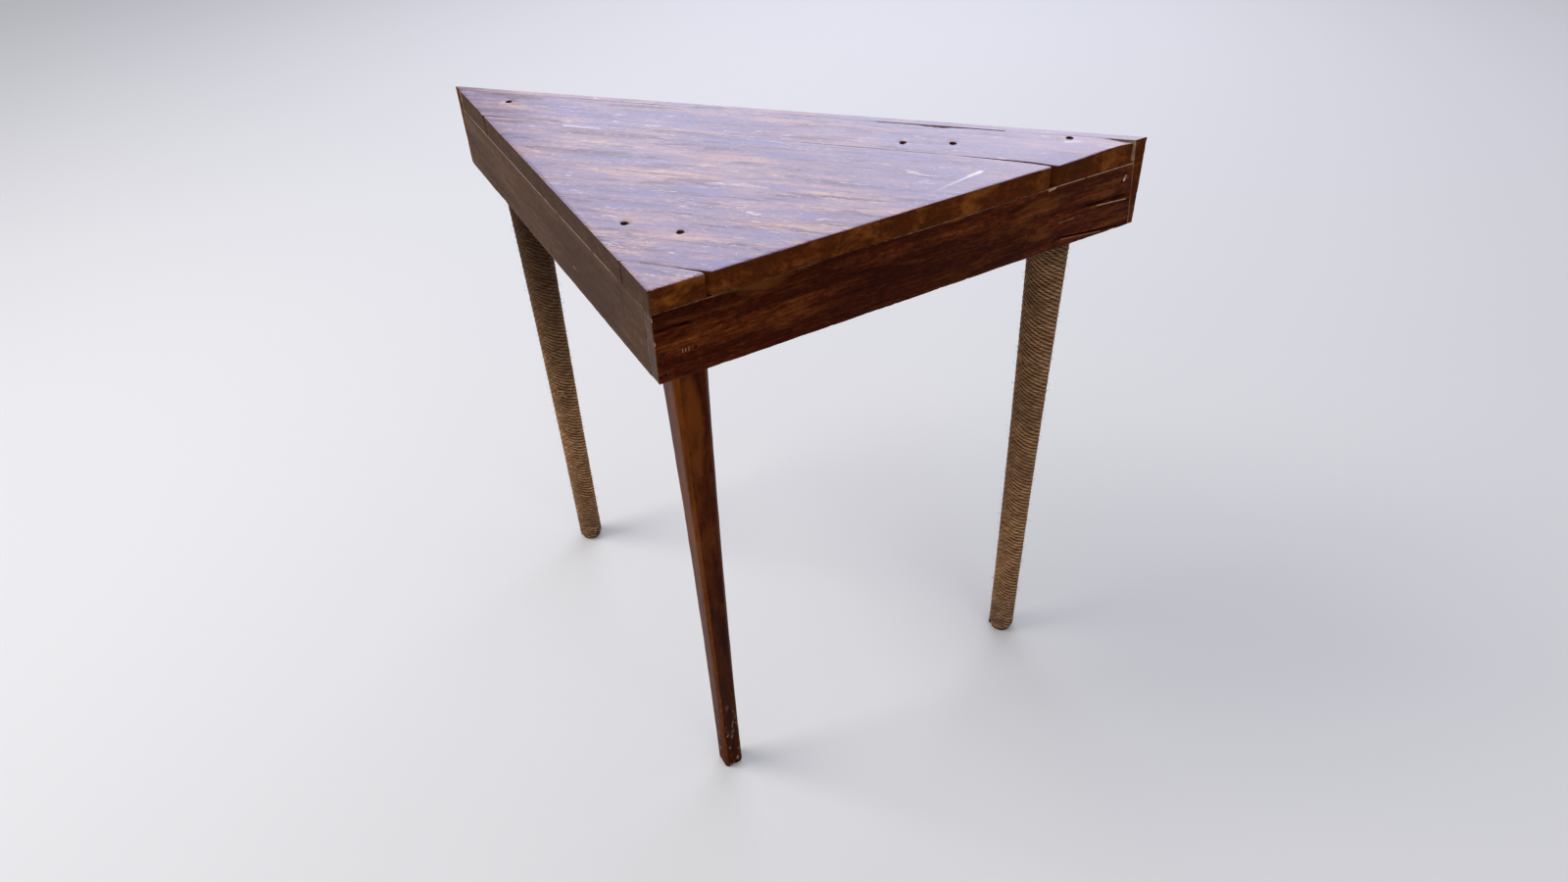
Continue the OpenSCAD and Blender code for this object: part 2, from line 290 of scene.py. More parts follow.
def plank(name, corners, thick, place, sink=None, holes=(), cuts=(), arris=1.2 * MM, step=4 * MM,
          cell=(12 * MM, 6 * MM), seed=1, wear=1.0, guard_share=4.2, ease=None, shown=None):
    """A board as a closed mesh. corners is its face's outline, thick its thickness as a number or a
    function of the face's points, place turns face points and depths into positions, and sink pushes the
    face in. ease scales the arris round the outline, and shown says which outline points carry the face's
    own finish. holes are (point, radius, depth) and cuts are (path, width, depth) splits along the grain."""
    guard = arris * guard_share
    ring, inward = outline_pair(corners, step, guard)
    count = len(ring)
    thickness = thick if callable(thick) else (lambda p: np.full(len(p), thick))

    def pushed(p):
        depth = np.zeros(len(p)) if sink is None else sink(p)
        for path, width, deep in cuts:
            gap, along = path_distance(p, path)
            shape = np.clip(1 - (gap / width) ** 2, 0, 1) ** 1.5
            fade = np.clip(along * 6, 0, 1) * 0.75 + 0.25
            uneven = 0.8 + 0.3 * field(p[:, 0] / (6 * MM), p[:, 1] / (3 * MM), seed + 9)
            depth = depth + deep * shape * fade * uneven
        return depth

    run = np.cumsum(np.linalg.norm(np.diff(ring, axis=0, prepend=ring[-1:]), axis=1))
    rough = field(run / (9 * MM), run * 0, seed) * 0.35 + field(run / (42 * MM), run * 0, seed + 1) * 0.4
    chips = np.clip(field(run / (5 * MM), run * 0, seed + 2) - 0.62, 0, 1) * 4 * wear
    radius = arris * (1 + rough * wear + chips)
    back_radius = arris * 0.6 * (1 + rough)
    wander = 0.15 * MM * (1 + field(run / (55 * MM), run * 0, seed + 3))
    if ease is not None:
        radius, wander = radius * ease(ring), wander * ease(ring)
    # Rings from the face round to the back: kind, offset in arris radii or share of the side, depth and wear
    levels = [
        ("front", None, 0, 0.0), ("front", 1, 0, 0.75), ("front", 0.5, 0.13, 1.0), ("front", 0.13, 0.5, 1.0),
        ("front", 0, 1, 0.8), ("side", 0.25, 0, 0.12), ("side", 0.5, 0, 0.12), ("side", 0.75, 0, 0.12),
        ("back", 0, 1, 0.5), ("back", 0.13, 0.5, 0.6), ("back", 0.5, 0.13, 0.6), ("back", 1, 0, 0.4),
        ("back", None, 0, 0.0)]
    verts, marks, rings, upper = [], [], [], []
    for kind, offset, depth, worn in levels:
        r = back_radius if kind == "back" else radius
        if offset is None:
            inset = np.full(count, guard)
        else:
            inset = r * offset if kind != "side" else np.zeros(count)
        p = ring + inward * (inset + wander)[:, None]
        t = thickness(p)
        side_depth = r + (t - r - back_radius) * (offset or 0)
        d = {"front": r * depth, "side": side_depth, "back": t - r * depth}[kind]
        if kind == "side":
            saw = 0.12 * MM * (1 + field(run / (3 * MM), run * 0 + offset * 7, seed + 5))
            p = p + inward * saw[:, None]
        d = d + pushed(p) * (1 - d / t)
        rings.append(len(verts))
        verts += [place(q, e) for q, e in zip(p, d)]
        marks += [worn] * count
        hidden = depth - 1.0 if kind == "back" else 0.0
        if shown is not None:
            upper += list(shown(ring) * (1.0 if kind == "side" else depth) + hidden)
        else:
            upper += [1.0 - depth if kind == "front" else hidden] * count
        if kind == "front" and offset is None:
            front_ring = p
        back_ring = p
    faces = []
    for a, b in zip(rings[:-1], rings[1:]):
        faces += ring_faces(range(a, a + count), range(b, b + count))

    # Extra points on the face: an even field, a fine band along each cut, and rings at the holes
    low, high = front_ring.min(0), front_ring.max(0)
    gx, gy = np.meshgrid(np.arange(low[0], high[0], cell[0]), np.arange(low[1], high[1], cell[1]))
    gx = gx + (np.arange(gx.shape[0]) % 2)[:, None] * cell[0] / 2
    extra = np.stack([gx.ravel(), gy.ravel()], 1)
    for path, width, _ in cuts:
        dense = []
        path = np.array(path, float)
        for a, b in zip(path[:-1], path[1:]):
            length = np.linalg.norm(b - a)
            side = np.array([-(b - a)[1], (b - a)[0]]) / length
            for t in np.arange(0, length, 2.2 * MM):
                middle = a + (b - a) * t / length
                dense += [middle + side * width * k for k in (-1.1, -0.6, -0.25, 0, 0.25, 0.6, 1.1)]
        extra = extra[path_distance(extra, path)[0] > width * 1.5]
        extra = np.concatenate([extra, np.array(dense)])
    hole_rings = []
    lip, hole_sides = 0.25 * MM, 20
    for k, (centre, size, deep) in enumerate(holes):
        turn = np.linspace(0, FULL_TURN, hole_sides, endpoint=False)
        ragged = 1 + 0.06 * np.sin(turn * 3 + k) + 0.05 * np.sin(turn * 5 + 2 * k)
        circle = np.stack([np.cos(turn), np.sin(turn)], 1) * ragged[:, None]
        hole_rings.append((np.array(centre), circle, size, deep))
        extra = extra[np.linalg.norm(extra - np.array(centre), axis=1) > size + 2.5 * MM]
    from_edge = path_distance(extra, np.vstack([front_ring, front_ring[:1]]))[0]
    extra = extra[inside(extra, front_ring) & (from_edge > 1.2 * MM)]
    outer = [c + circle * (size + lip) for c, circle, size, _ in hole_rings]
    points, source, tris = filled(front_ring, outer, extra)
    index = {}
    for i, s in enumerate(source):
        if 0 <= s < count:
            index[i] = rings[0] + s
    fresh = [i for i in range(len(points)) if i not in index]
    for i, q, e in zip(fresh, points[fresh], pushed(points[fresh])):
        index[i] = len(verts)
        verts.append(place(q, e))
        marks.append(0.0)
        upper.append(1.0 if shown is None else 0.0)
    faces += [tuple(index[i] for i in f) for f in tris]
    for h, (centre, circle, size, deep) in enumerate(hole_rings):
        first = count + sum(len(o) for o in outer[:h])
        previous = [index[source.index(first + k)] for k in range(hole_sides)]
        for grow, depth in ((0.08 * MM, 0.1 * MM), (0, 0.45 * MM), (-0.1 * MM, deep * 0.6),
                            (-0.15 * MM, deep)):
            p = centre + circle * (size + grow)
            d = depth + pushed(p)
            now = range(len(verts), len(verts) + hole_sides)
            verts += [place(q, e) for q, e in zip(p, d)]
            marks += [1.0 if depth < 1 * MM else 0.0] * hole_sides
            upper += [0.8 if depth < 0.2 * MM and shown is None else 0.0] * hole_sides
            faces += ring_faces(previous, now)
            previous = now
        faces.append(tuple(previous))
    coarse = extra[::5] if len(extra) > 50 else extra
    coarse = coarse[inside(coarse, back_ring)]
    points, source, tris = filled(back_ring, [], coarse)
    index = {i: rings[-1] + s for i, s in enumerate(source) if 0 <= s < count}
    for i, q in enumerate(points):
        if i not in index:
            index[i] = len(verts)
            verts.append(place(q, float(thickness(q[None])[0])))
            marks.append(0.0)
            upper.append(-1.0)
    faces += [tuple(index[i] for i in f) for f in tris]
    return solid_piece(name, verts, faces, {"wear": marks, "face": upper})


def new_object(name, data):
    """An object in the scene."""
    made = bpy.data.objects.new(name, data)
    bpy.context.scene.collection.objects.link(made)
    return made


def smooth_piece(name, mesh, sharp=35):
    """A mesh as a piece, smooth but for its edges sharper than an angle in degrees."""
    mesh.polygons.foreach_set("use_smooth", [True] * len(mesh.polygons))
    mesh.set_sharp_from_angle(angle=math.radians(sharp))
    return new_object(name, mesh)


def ring_faces(a, b):
    """Faces between two closed rings of vertices."""
    n = len(a)
    return [(a[i], a[(i + 1) % n], b[(i + 1) % n], b[i]) for i in range(n)]


def solid_piece(name, verts, faces, numbers=None, sharp=35):
    """A piece with its faces pointing out, and one float attribute for each entry of numbers."""
    mesh = bpy.data.meshes.new(name)
    mesh.from_pydata([tuple(v) for v in verts], [], faces)
    for key, values in (numbers or {}).items():
        mesh.attributes.new(key, "FLOAT", "POINT").data.foreach_set("value", np.array(values, np.float32))
    bm = bmesh.new()
    bm.from_mesh(mesh)
    bmesh.ops.remove_doubles(bm, verts=bm.verts, dist=1e-7)
    bmesh.ops.recalc_face_normals(bm, faces=bm.faces)
    bm.to_mesh(mesh)
    bm.free()
    return smooth_piece(name, mesh, sharp)


def dress(piece, look):
    """Gives a piece its one material."""
    piece.data.materials.clear()
    piece.data.materials.append(look)


def finish_piece(piece, look, slot, *nodes):
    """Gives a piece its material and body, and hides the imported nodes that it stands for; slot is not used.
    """
    dress(piece, look)
    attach(piece, ROOT)
    if nodes:
        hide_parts(*nodes)


# ---------------------------------------------------------------- node trees

class Graph:
    """Adds nodes to one tree; an input's value is a number, a colour or another node's output."""

    def __init__(self, tree):
        self.tree = tree

    def feed(self, node, values):
        """Links or sets a node's inputs; a plain colour is made opaque."""
        for key, value in values.items():
            socket = node.inputs[key]
            if isinstance(value, bpy.types.NodeSocket):
                self.tree.links.new(value, socket)
            else:
                socket.default_value = (*value, 1) if socket.type == "RGBA" and len(value) == 3 else value

    def add(self, kind, values=None, **settings):
        node = self.tree.nodes.new(kind)
        for key, value in settings.items():
            setattr(node, key, value)
        self.feed(node, values or {})
        return node

    def math(self, operation, a, b=0.0, clamp=False):
        return self.add("ShaderNodeMath", {0: a, 1: b}, operation=operation, use_clamp=clamp).outputs[0]

    def times(self, a, b):
        return self.math("MULTIPLY", a, b)

    def plus(self, a, b):
        return self.math("ADD", a, b)

    def vector(self, operation, a, b=(0, 0, 0)):
        return self.add("ShaderNodeVectorMath", {0: a, 1: b}, operation=operation).outputs[0]

    def dot(self, a, b):
        node = self.add("ShaderNodeVectorMath", {0: a, 1: b}, operation="DOT_PRODUCT")
        return node.outputs["Value"]

    def noise(self, vector, scale, detail=4.0, roughness=0.6, distortion=0.0):
        values = {"Vector": vector, "Scale": scale, "Detail": detail, "Roughness": roughness,
                  "Distortion": distortion}
        return self.add("ShaderNodeTexNoise", values).outputs["Fac"]

    def drawn(self, vector, scale, detail, roughness=0.6, distortion=0.0):
        """Noise with its own scale along each axis, for streaks that follow the grain."""
        return self.noise(self.vector("MULTIPLY", vector, scale), 1.0, detail, roughness, distortion)

    def band(self, value, low, high, to_low=0.0, to_high=1.0):
        """Takes a value from one range to another, with soft ends."""
        values = {"Value": value, "From Min": low, "From Max": high, "To Min": to_low, "To Max": to_high}
        return self.add("ShaderNodeMapRange", values, interpolation_type="SMOOTHSTEP").outputs["Result"]

    def ramp(self, value, stops):
        node = self.add("ShaderNodeValToRGB", {"Fac": value})
        elements = node.color_ramp.elements
        while len(elements) < len(stops):
            elements.new(0.5)
        for element, (at, colour) in zip(elements, stops):
            element.position = at
            element.color = (*colour, 1)
        return node.outputs["Color"]

    def mix(self, share, a, b):
        return self.add("ShaderNodeMix", {0: share, 6: a, 7: b}, data_type="RGBA").outputs[2]

    def tint(self, base, mask, strength, colour):
        """Mixes a colour into the base where the mask is set, at most by strength."""
        return self.mix(self.times(mask, strength), base, colour)

    def attribute(self, name):
        return self.add("ShaderNodeAttribute", attribute_name=name).outputs["Fac"]

    def axes(self, vector):
        return self.add("ShaderNodeSeparateXYZ", {0: vector}).outputs

    def group(self, name, values):
        node = self.add("ShaderNodeGroup", node_tree=bpy.data.node_groups[name])
        self.feed(node, values)
        return node.outputs

    def random(self, low, high, seed):
        """A random number for each point, in a geometry tree."""
        node = self.add("FunctionNodeRandomValue", {2: low, 3: high, "Seed": seed}, data_type="FLOAT")
        return node.outputs[1]

    def stored(self, name, kind="FLOAT"):
        """A named attribute of the geometry, in a geometry tree."""
        node = self.add("GeometryNodeInputNamedAttribute", {"Name": name}, data_type=kind)
        return node.outputs["Attribute"]

    def turned(self, rotation, angles):
        """A rotation followed by turns about its own axes, keyed by axis number."""
        node = self.add("FunctionNodeRotateRotation", {"Rotation": rotation}, rotation_space="LOCAL")
        euler = self.add("ShaderNodeCombineXYZ", angles).outputs[0]
        self.feed(node, {"Rotate By": self.add("FunctionNodeEulerToRotation", {0: euler}).outputs[0]})
        return node.outputs[0]

    def finish(self, geometry, material, result):
        """Ends a geometry tree: instances made real, and the material set."""
        real = self.add("GeometryNodeRealizeInstances", {"Geometry": geometry}).outputs["Geometry"]
        dressed = self.add("GeometryNodeSetMaterial", {"Geometry": real, "Material": material})
        self.tree.links.new(dressed.outputs["Geometry"], result.inputs[0])


def new_group(name, inputs, outputs, kind="ShaderNodeTree"):
    """An empty node group with named sockets, its graph, its input node and its output node."""
    tree = bpy.data.node_groups.new(name, kind)
    for key, (socket, value) in inputs.items():
        made = tree.interface.new_socket(key, in_out="INPUT", socket_type=socket)
        if value is not None:
            made.default_value = value
    for key, socket in outputs.items():
        tree.interface.new_socket(key, in_out="OUTPUT", socket_type=socket)
    graph = Graph(tree)
    return tree, graph, tree.nodes.new("NodeGroupInput"), tree.nodes.new("NodeGroupOutput")


def build_wood_figure():
    """Growth rings, long streaks and fine fibres of a board whose grain runs along X."""
    tree, g, given, result = new_group(
        "wood_figure",
        {"Vector": ("NodeSocketVector", None), "Ring Width": ("NodeSocketFloat", 0.006),
         "Warp": ("NodeSocketFloat", 0.012), "Length": ("NodeSocketFloat", 1.0)},
        {"Rings": "NodeSocketFloat", "Streaks": "NodeSocketFloat", "Fibre": "NodeSocketFloat",
         "Clouds": "NodeSocketFloat"})
    place = given.outputs["Vector"]
    slow = g.drawn(place, (2.2, 9, 9), 2.0, 0.5)
    bend = g.times(g.math("SUBTRACT", slow, 0.5), given.outputs["Warp"])
    bend = g.times(bend, 2.0)
    parts = g.axes(place)
    across = g.plus(parts[1], bend)
    deep = g.plus(parts[2], bend)
    radius = g.math("SQRT", g.plus(g.times(across, across), g.times(deep, deep)))
    turns = g.math("DIVIDE", radius, given.outputs["Ring Width"])
    turns = g.plus(turns, g.times(g.drawn(place, (6, 40, 40), 3.0), 0.5))
    saw = g.math("FRACT", turns)
    rings = g.times(g.band(saw, 0.25, 0.88), g.band(saw, 1.0, 0.9))
    streaks = g.drawn(place, (5, 75, 75), 6.0, 0.62, 0.3)
    fibre = g.drawn(place, (28, 900, 900), 3.0, 0.6)
    clouds = g.drawn(place, (4, 10, 10), 4.0, 0.55)
    for key, value in (("Rings", rings), ("Streaks", streaks), ("Fibre", fibre), ("Clouds", clouds)):
        tree.links.new(value, result.inputs[key])


def build_arris_wear():
    """Mask of rubbed arrises, from the wear painted on a board's vertices."""
    tree, g, given, result = new_group(
        "arris_wear", {"Wear": ("NodeSocketFloat", 0.0), "Vector": ("NodeSocketVector", None),
                       "Amount": ("NodeSocketFloat", 0.5), "Grain": ("NodeSocketFloat", 120.0)},
        {"Mask": "NodeSocketFloat"})
    spots = g.noise(given.outputs["Vector"], given.outputs["Grain"], 3.0, 0.65)
    patches = g.noise(given.outputs["Vector"], 14.0, 3.0, 0.6)
    rub = g.plus(g.times(spots, 0.6), g.times(patches, 0.6))
    level = g.times(given.outputs["Wear"], g.plus(given.outputs["Amount"], rub))
    tree.links.new(g.band(level, 0.85, 1.15), result.inputs["Mask"])


def build_dust_specks():
    """Scattered small specks of dust and grit."""
    tree, g, given, result = new_group(
        "dust_specks", {"Vector": ("NodeSocketVector", None), "Cells": ("NodeSocketFloat", 160.0),
                        "Share": ("NodeSocketFloat", 0.1), "Size": ("NodeSocketFloat", 0.2)},
        {"Mask": "NodeSocketFloat"})
    bent = g.add("ShaderNodeTexNoise", {"Vector": given.outputs["Vector"], "Scale": 300.0}).outputs["Color"]
    place = g.vector("ADD", given.outputs["Vector"], g.vector("MULTIPLY", bent, (0.002, 0.002, 0.002)))
    cells = g.add("ShaderNodeTexVoronoi", {"Vector": place, "Scale": given.outputs["Cells"]})
    chance = g.add("ShaderNodeSeparateColor", {0: cells.outputs["Color"]}).outputs[0]
    size = g.times(given.outputs["Size"], g.plus(chance, 0.5))
    near = g.math("LESS_THAN", cells.outputs["Distance"], size)
    lucky = g.math("LESS_THAN", chance, given.outputs["Share"])
    tree.links.new(g.times(near, lucky), result.inputs["Mask"])


def build_line_mark():
    """Mask of a straight line between two points, for scuffs and for painted highlight lines."""
    tree, g, given, result = new_group(
        "line_mark", {"Vector": ("NodeSocketVector", None), "Start": ("NodeSocketVector", None),
                      "End": ("NodeSocketVector", None), "Width": ("NodeSocketFloat", 0.002),
                      "Break Up": ("NodeSocketFloat", 0.5)},
        {"Mask": "NodeSocketFloat", "Along": "NodeSocketFloat"})
    out = given.outputs
    run = g.vector("SUBTRACT", out["End"], out["Start"])
    reach = g.vector("SUBTRACT", out["Vector"], out["Start"])
    along = g.math("DIVIDE", g.dot(reach, run), g.dot(run, run), clamp=True)
    scaled = g.add("ShaderNodeVectorMath", {0: run, "Scale": along}, operation="SCALE").outputs[0]
    away = g.vector("SUBTRACT", reach, scaled)
    gap = g.add("ShaderNodeVectorMath", {0: away}, operation="LENGTH").outputs["Value"]
    wide = g.math("DIVIDE", gap, out["Width"])
    broken = g.times(g.noise(out["Vector"], 260.0, 3.0, 0.7), out["Break Up"])
    tree.links.new(g.band(g.plus(wide, broken), 1.0, 0.35), result.inputs["Mask"])
    tree.links.new(along, result.inputs["Along"])


# ---------------------------------------------------------------- materials

def new_material(name):
    """A material with an empty Principled shader, and its graph."""
    look = bpy.data.materials.new(name)
    look.use_nodes = True
    shader = next(n for n in look.node_tree.nodes if n.type == "BSDF_PRINCIPLED")
    return look, Graph(look.node_tree), shader


def grain_place(g, turn, shift):
    """Object coordinates turned so that X runs along the grain, and moved to the board's own heart."""
    place = g.add("ShaderNodeTexCoord").outputs["Object"]
    moved = g.add("ShaderNodeMapping", {"Vector": place, "Location": shift, "Rotation": (0, 0, -turn)},
                  vector_type="POINT")
    return place, moved.outputs[0]


def wear_mask(g, place, amount, grain=120.0):
    """Where a piece is rubbed through, from its wear attribute."""
    values = {"Wear": g.attribute("wear"), "Vector": place, "Amount": amount, "Grain": grain}
    return g.group("arris_wear", values)["Mask"]


def speck_mask(g, place, cells, share, size):
    """Dust specks, as a mask."""
    return g.group("dust_specks", {"Vector": place, "Cells": cells, "Share": share, "Size": size})["Mask"]


def bump(g, shader, height, strength, distance=0.001):
    """Relief from a height, on the shader's normal."""
    node = g.add("ShaderNodeBump", {"Height": height, "Strength": strength, "Distance": distance})
    g.feed(shader, {"Normal": node.outputs[0]})


def stain(g, grain, figure, palette, amber):
    """Old stain under varnish: streaks, faint rings, amber where it is thin, dark blotches where thick."""
    mottle = g.drawn(grain, (90, 240, 240), 5.0, 0.75, 0.4)
    tone = g.plus(g.times(figure["Streaks"], 0.5), g.times(mottle, 0.5))
    base = g.ramp(tone, [(0.38, palette["deep"]), (0.50, palette["mid"]), (0.60, palette["warm"]),
                         (0.70, palette["amber"])])
    base = g.tint(base, figure["Rings"], 0.30, palette["deep"])
    patches = g.drawn(g.vector("ADD", grain, (0.37, 1.1, 0)), (7, 30, 30), 6.0, 0.66, 0.5)
    base = g.tint(base, g.band(patches, 0.50, 0.66), amber, palette["amber"])
    base = g.tint(base, g.band(figure["Clouds"], 0.50, 0.68), 0.5, palette["deep"])
    return g.tint(base, g.band(figure["Fibre"], 0.50, 0.75), 0.25, palette["deep"]), patches


def unfinished(g, base, figure):
    """Leaves the hidden face of a board raw, where its face attribute is below zero."""
    face = g.attribute("face")
    raw = g.ramp(figure["Streaks"], [(0.35, (0.16, 0.090, 0.050)), (0.65, (0.34, 0.215, 0.125))])
    raw = g.tint(raw, figure["Rings"], 0.4, (0.15, 0.080, 0.042))
    return g.mix(g.band(face, -0.35, -0.85), base, raw)


def top_look(name, palette, shift, marks=(), amber=0.75):
    """Streaky worn varnish whose cool blue and lilac colours on the upper face are partly varnish bloom and
    partly painted sky reflection, and dark stain on the edges, painted paler and greyer on the left-facing
    edges as light from the left.
    """
    look, g, shader = new_material(name)
    place, grain = grain_place(g, 0.0, shift)
    figure = g.group("wood_figure", {"Vector": grain, "Ring Width": 0.009, "Warp": 0.02})
    brushed = g.drawn(grain, (8, 70, 70), 8.0, 0.76, 0.5)
    broad = g.drawn(g.vector("ADD", grain, (0.3, 0.2, 0)), (5.5, 22, 22), 5.0, 0.62, 0.8)
    tone = g.plus(g.times(brushed, 0.6), g.times(broad, 0.4))
    # The blue, lilac and haze colours are partly varnish bloom and partly painted sky reflection
    base = g.ramp(tone, [(0.36, palette["blue"]), (0.45, palette["lilac"]), (0.50, palette["haze_and_sky_reflection"]),
                         (0.55, palette["pink"]), (0.62, palette["bare"])])
    deep = g.drawn(g.vector("ADD", grain, (3.1, 0.7, 0)), (9, 80, 80), 7.0, 0.76, 0.5)
    base = g.tint(base, g.band(deep, 0.505, 0.625), 0.92, palette["deep"])
    base = g.tint(base, figure["Rings"], 0.16, palette["deep"])
    bare = g.drawn(g.vector("ADD", grain, (1.7, 2.3, 0)), (22, 130, 130), 6.0, 0.76, 0.6)
    base = g.tint(base, g.band(bare, 0.58, 0.66), 0.85, palette["cream"])
    mottle = g.drawn(place, (130, 330, 130), 3.0, 0.7)
    base = g.tint(base, g.band(mottle, 0.56, 0.7), 0.35, palette["cream"])
    base = g.tint(base, g.band(mottle, 0.46, 0.32), 0.45, palette["deep"])
    parts = g.axes(place)
    # Painted sky reflection: the top is painted lighter and more lilac towards the right and the back
    far = g.plus(parts[0], g.times(parts[1], 0.8))
    base = g.tint(base, g.band(far, 0.05, 0.55), 0.38, palette["painted_sky_sheen"])
    for cells, share, size, strength in ((150.0, 0.10, 0.17, 0.85), (400.0, 0.16, 0.2, 0.5)):
        base = g.tint(base, speck_mask(g, place, cells, share, size), strength, palette["dust"])
    for start, end, width, strength, far in marks:
        made = g.group("line_mark", {"Vector": place, "Start": start, "End": end, "Width": width})
        fade = g.times(made["Mask"], g.band(made["Along"], 1.0, 0.0, far, 1.0))
        base = g.tint(base, fade, strength, palette["dust"])
    face = g.band(g.attribute("face"), 0.35, 0.85)
    edge, _ = stain(g, grain, figure, palette["right"], amber)
    edge = g.mix(0.14, edge, palette["amber"])
    # Painted light: the left-facing edges take the paler, greyer left-hand colours
    if "left" in palette:
        left, _ = stain(g, grain, figure, palette["left"], amber * 0.5)
        left = g.mix(0.45, left, palette["left"]["deep"])
        edge = g.mix(g.band(parts[0], -0.004, 0.004), left, edge)
    rubbed = wear_mask(g, place, 0.30)
    edge = g.tint(edge, rubbed, 0.5, palette["amber"])
    # The pale arris colour is partly wear and partly a painted highlight along the boards' edges
    base = g.tint(base, rubbed, 0.8, palette["arris"])
    dull = g.plus(g.times(brushed, 0.30), g.times(rubbed, 0.2))
    g.feed(shader, {
        "Base Color": unfinished(g, g.mix(face, edge, base), figure),
        "Roughness": g.plus(dull, g.band(face, 0.0, 1.0, 0.50, 0.20)),
        "Specular IOR Level": g.band(face, 0.0, 1.0, 0.05, 0.5),
        "Specular Tint": g.mix(face, WARM_TINT, (1.0, 1.0, 1.0)),
        "Coat Weight": g.times(face, 0.45), "Coat Roughness": 0.2})
    relief = g.plus(g.times(figure["Fibre"], 0.2), g.times(brushed, 0.9))
    bump(g, shader, relief, 0.35, 0.0012)
    return look


def stained_look(name, turn, shift, palette, gloss=0.35, amber=0.5, marks=(), rub=0.3, level=0.06, butt=None):
    """Stained and varnished board, with rubbed arrises and marks given as lines. butt is a point, a
    direction and a palette: the board takes that palette on its end at the point."""
    look, g, shader = new_material(name)
    place, grain = grain_place(g, turn, shift)
    figure = g.group("wood_figure", {"Vector": grain, "Ring Width": 0.006, "Warp": 0.02})
    base, patches = stain(g, grain, figure, palette, amber)
    if butt is not None:
        point, way, colours = butt
        end_grain, _ = stain(g, grain, figure, colours, amber * 0.5)
        reach = g.vector("SUBTRACT", place, point)
        along = g.dot(reach, way)
        base = g.mix(g.band(along, 0.0012, 0.0006), base, end_grain)
    base = g.tint(base, speck_mask(g, place, 230.0, 0.07, 0.13), 0.4, palette["pale"])
    rubbed = wear_mask(g, place, rub)
    base = g.tint(base, rubbed, 0.7, palette["pale"])
    for start, end, width, colour, strength in marks:
        made = g.group("line_mark", {"Vector": place, "Start": start, "End": end, "Width": width})
        base = g.tint(base, made["Mask"], strength, palette[colour])
    dull = g.plus(g.times(patches, 0.25), g.times(rubbed, 0.2))
    g.feed(shader, {"Base Color": unfinished(g, base, figure), "Roughness": g.plus(dull, gloss)})
    warm_gloss(g, shader, level)
    relief = g.plus(g.times(figure["Fibre"], 0.5), g.times(figure["Rings"], -0.5))
    bump(g, shader, relief, 0.3, 0.0008)
    return look


def warm_gloss(g, shader, level):
    """The amber shine of an old spirit varnish."""
    g.feed(shader, {"Specular IOR Level": level, "Specular Tint": WARM_TINT})


def raw_look(name, turn, shift, light, dark):
    """Unfinished sawn softwood, with the ripple that a saw leaves across the grain."""
    look, g, shader = new_material(name)
    _, grain = grain_place(g, turn, shift)
    figure = g.group("wood_figure", {"Vector": grain, "Ring Width": 0.005, "Warp": 0.014})
    base = g.tint(light, figure["Rings"], 0.6, dark)
    base = g.tint(base, g.band(figure["Fibre"], 0.45, 0.7), 0.25, dark)
    base = g.tint(base, g.band(figure["Clouds"], 0.5, 0.75), 0.35, (0.30, 0.21, 0.13))
    saw = g.math("SINE", g.plus(g.times(g.axes(grain)[0], 2400.0), g.times(figure["Clouds"], 9.0)))
    g.feed(shader, {"Base Color": base, "Roughness": g.plus(g.times(figure["Fibre"], 0.2), 0.68),
                    "Specular IOR Level": 0.25})
    bump(g, shader, g.plus(g.times(saw, 0.25), figure["Fibre"]), 0.4, 0.0008)
    return look


def jute_look(name, palette, neck, shade_share, foot_dirt=0.12):
    """Rough jute with painted shade in the creases between its plies, earth near the floor, and painted shade
    from the table that darkens it towards the aprons by the given share, deepest just under them."""
    look, g, shader = new_material(name)
    place = g.add("ShaderNodeTexCoord").outputs["Object"]
    lobe = g.attribute("lobe")
    run = g.attribute("run")
    fine = g.noise(place, 1500.0, 3.0, 0.7)
    patch = g.drawn(place, (30, 30, 16), 4.0, 0.6)
    along = g.add("ShaderNodeCombineXYZ", {0: run, 1: lobe}).outputs[0]
    varied = g.drawn(along, (55, 1, 1), 4.0, 0.65)
    base = g.ramp(g.plus(g.times(fine, 0.35), g.times(varied, 0.65)),
                  [(0.36, palette["dark"]), (0.50, palette["mid"]), (0.62, palette["light"])])
    # Painted shade: the creases between the plies, where lobe is low, are darkened
    base = g.tint(base, g.band(lobe, 0.85, 0.12), 0.96, palette["crease_shade"])
    base = g.tint(base, g.band(patch, 0.48, 0.68), 0.5, palette["stain"])
    height = g.axes(place)[2]
    # Painted shade: darker towards the aprons, where the table shades the winding, by the given share
    painted_apron_shade = g.times(g.band(height, neck * 0.30, neck * 0.98), shade_share)
    base = g.mix(painted_apron_shade, base, palette["painted_apron_shade"])
    soil = g.times(g.band(height, foot_dirt, 0.0), g.band(g.noise(place, 90.0, 4.0, 0.6), 0.35, 0.6))
    base = g.tint(base, soil, 0.7, palette["earth"])
    # Painted shade just under the aprons
    shade = g.band(height, neck - 0.05, neck)
    base = g.tint(base, shade, 0.4, palette["crease_shade"])
    g.feed(shader, {"Base Color": base, "Roughness": 0.92, "Specular IOR Level": 0.05, "Sheen Weight": 0.10,
                    "Sheen Roughness": 0.5})
    bump(g, shader, g.plus(g.times(fine, 1.0), g.times(varied, 0.5)), 0.6, 0.0008)
    return look


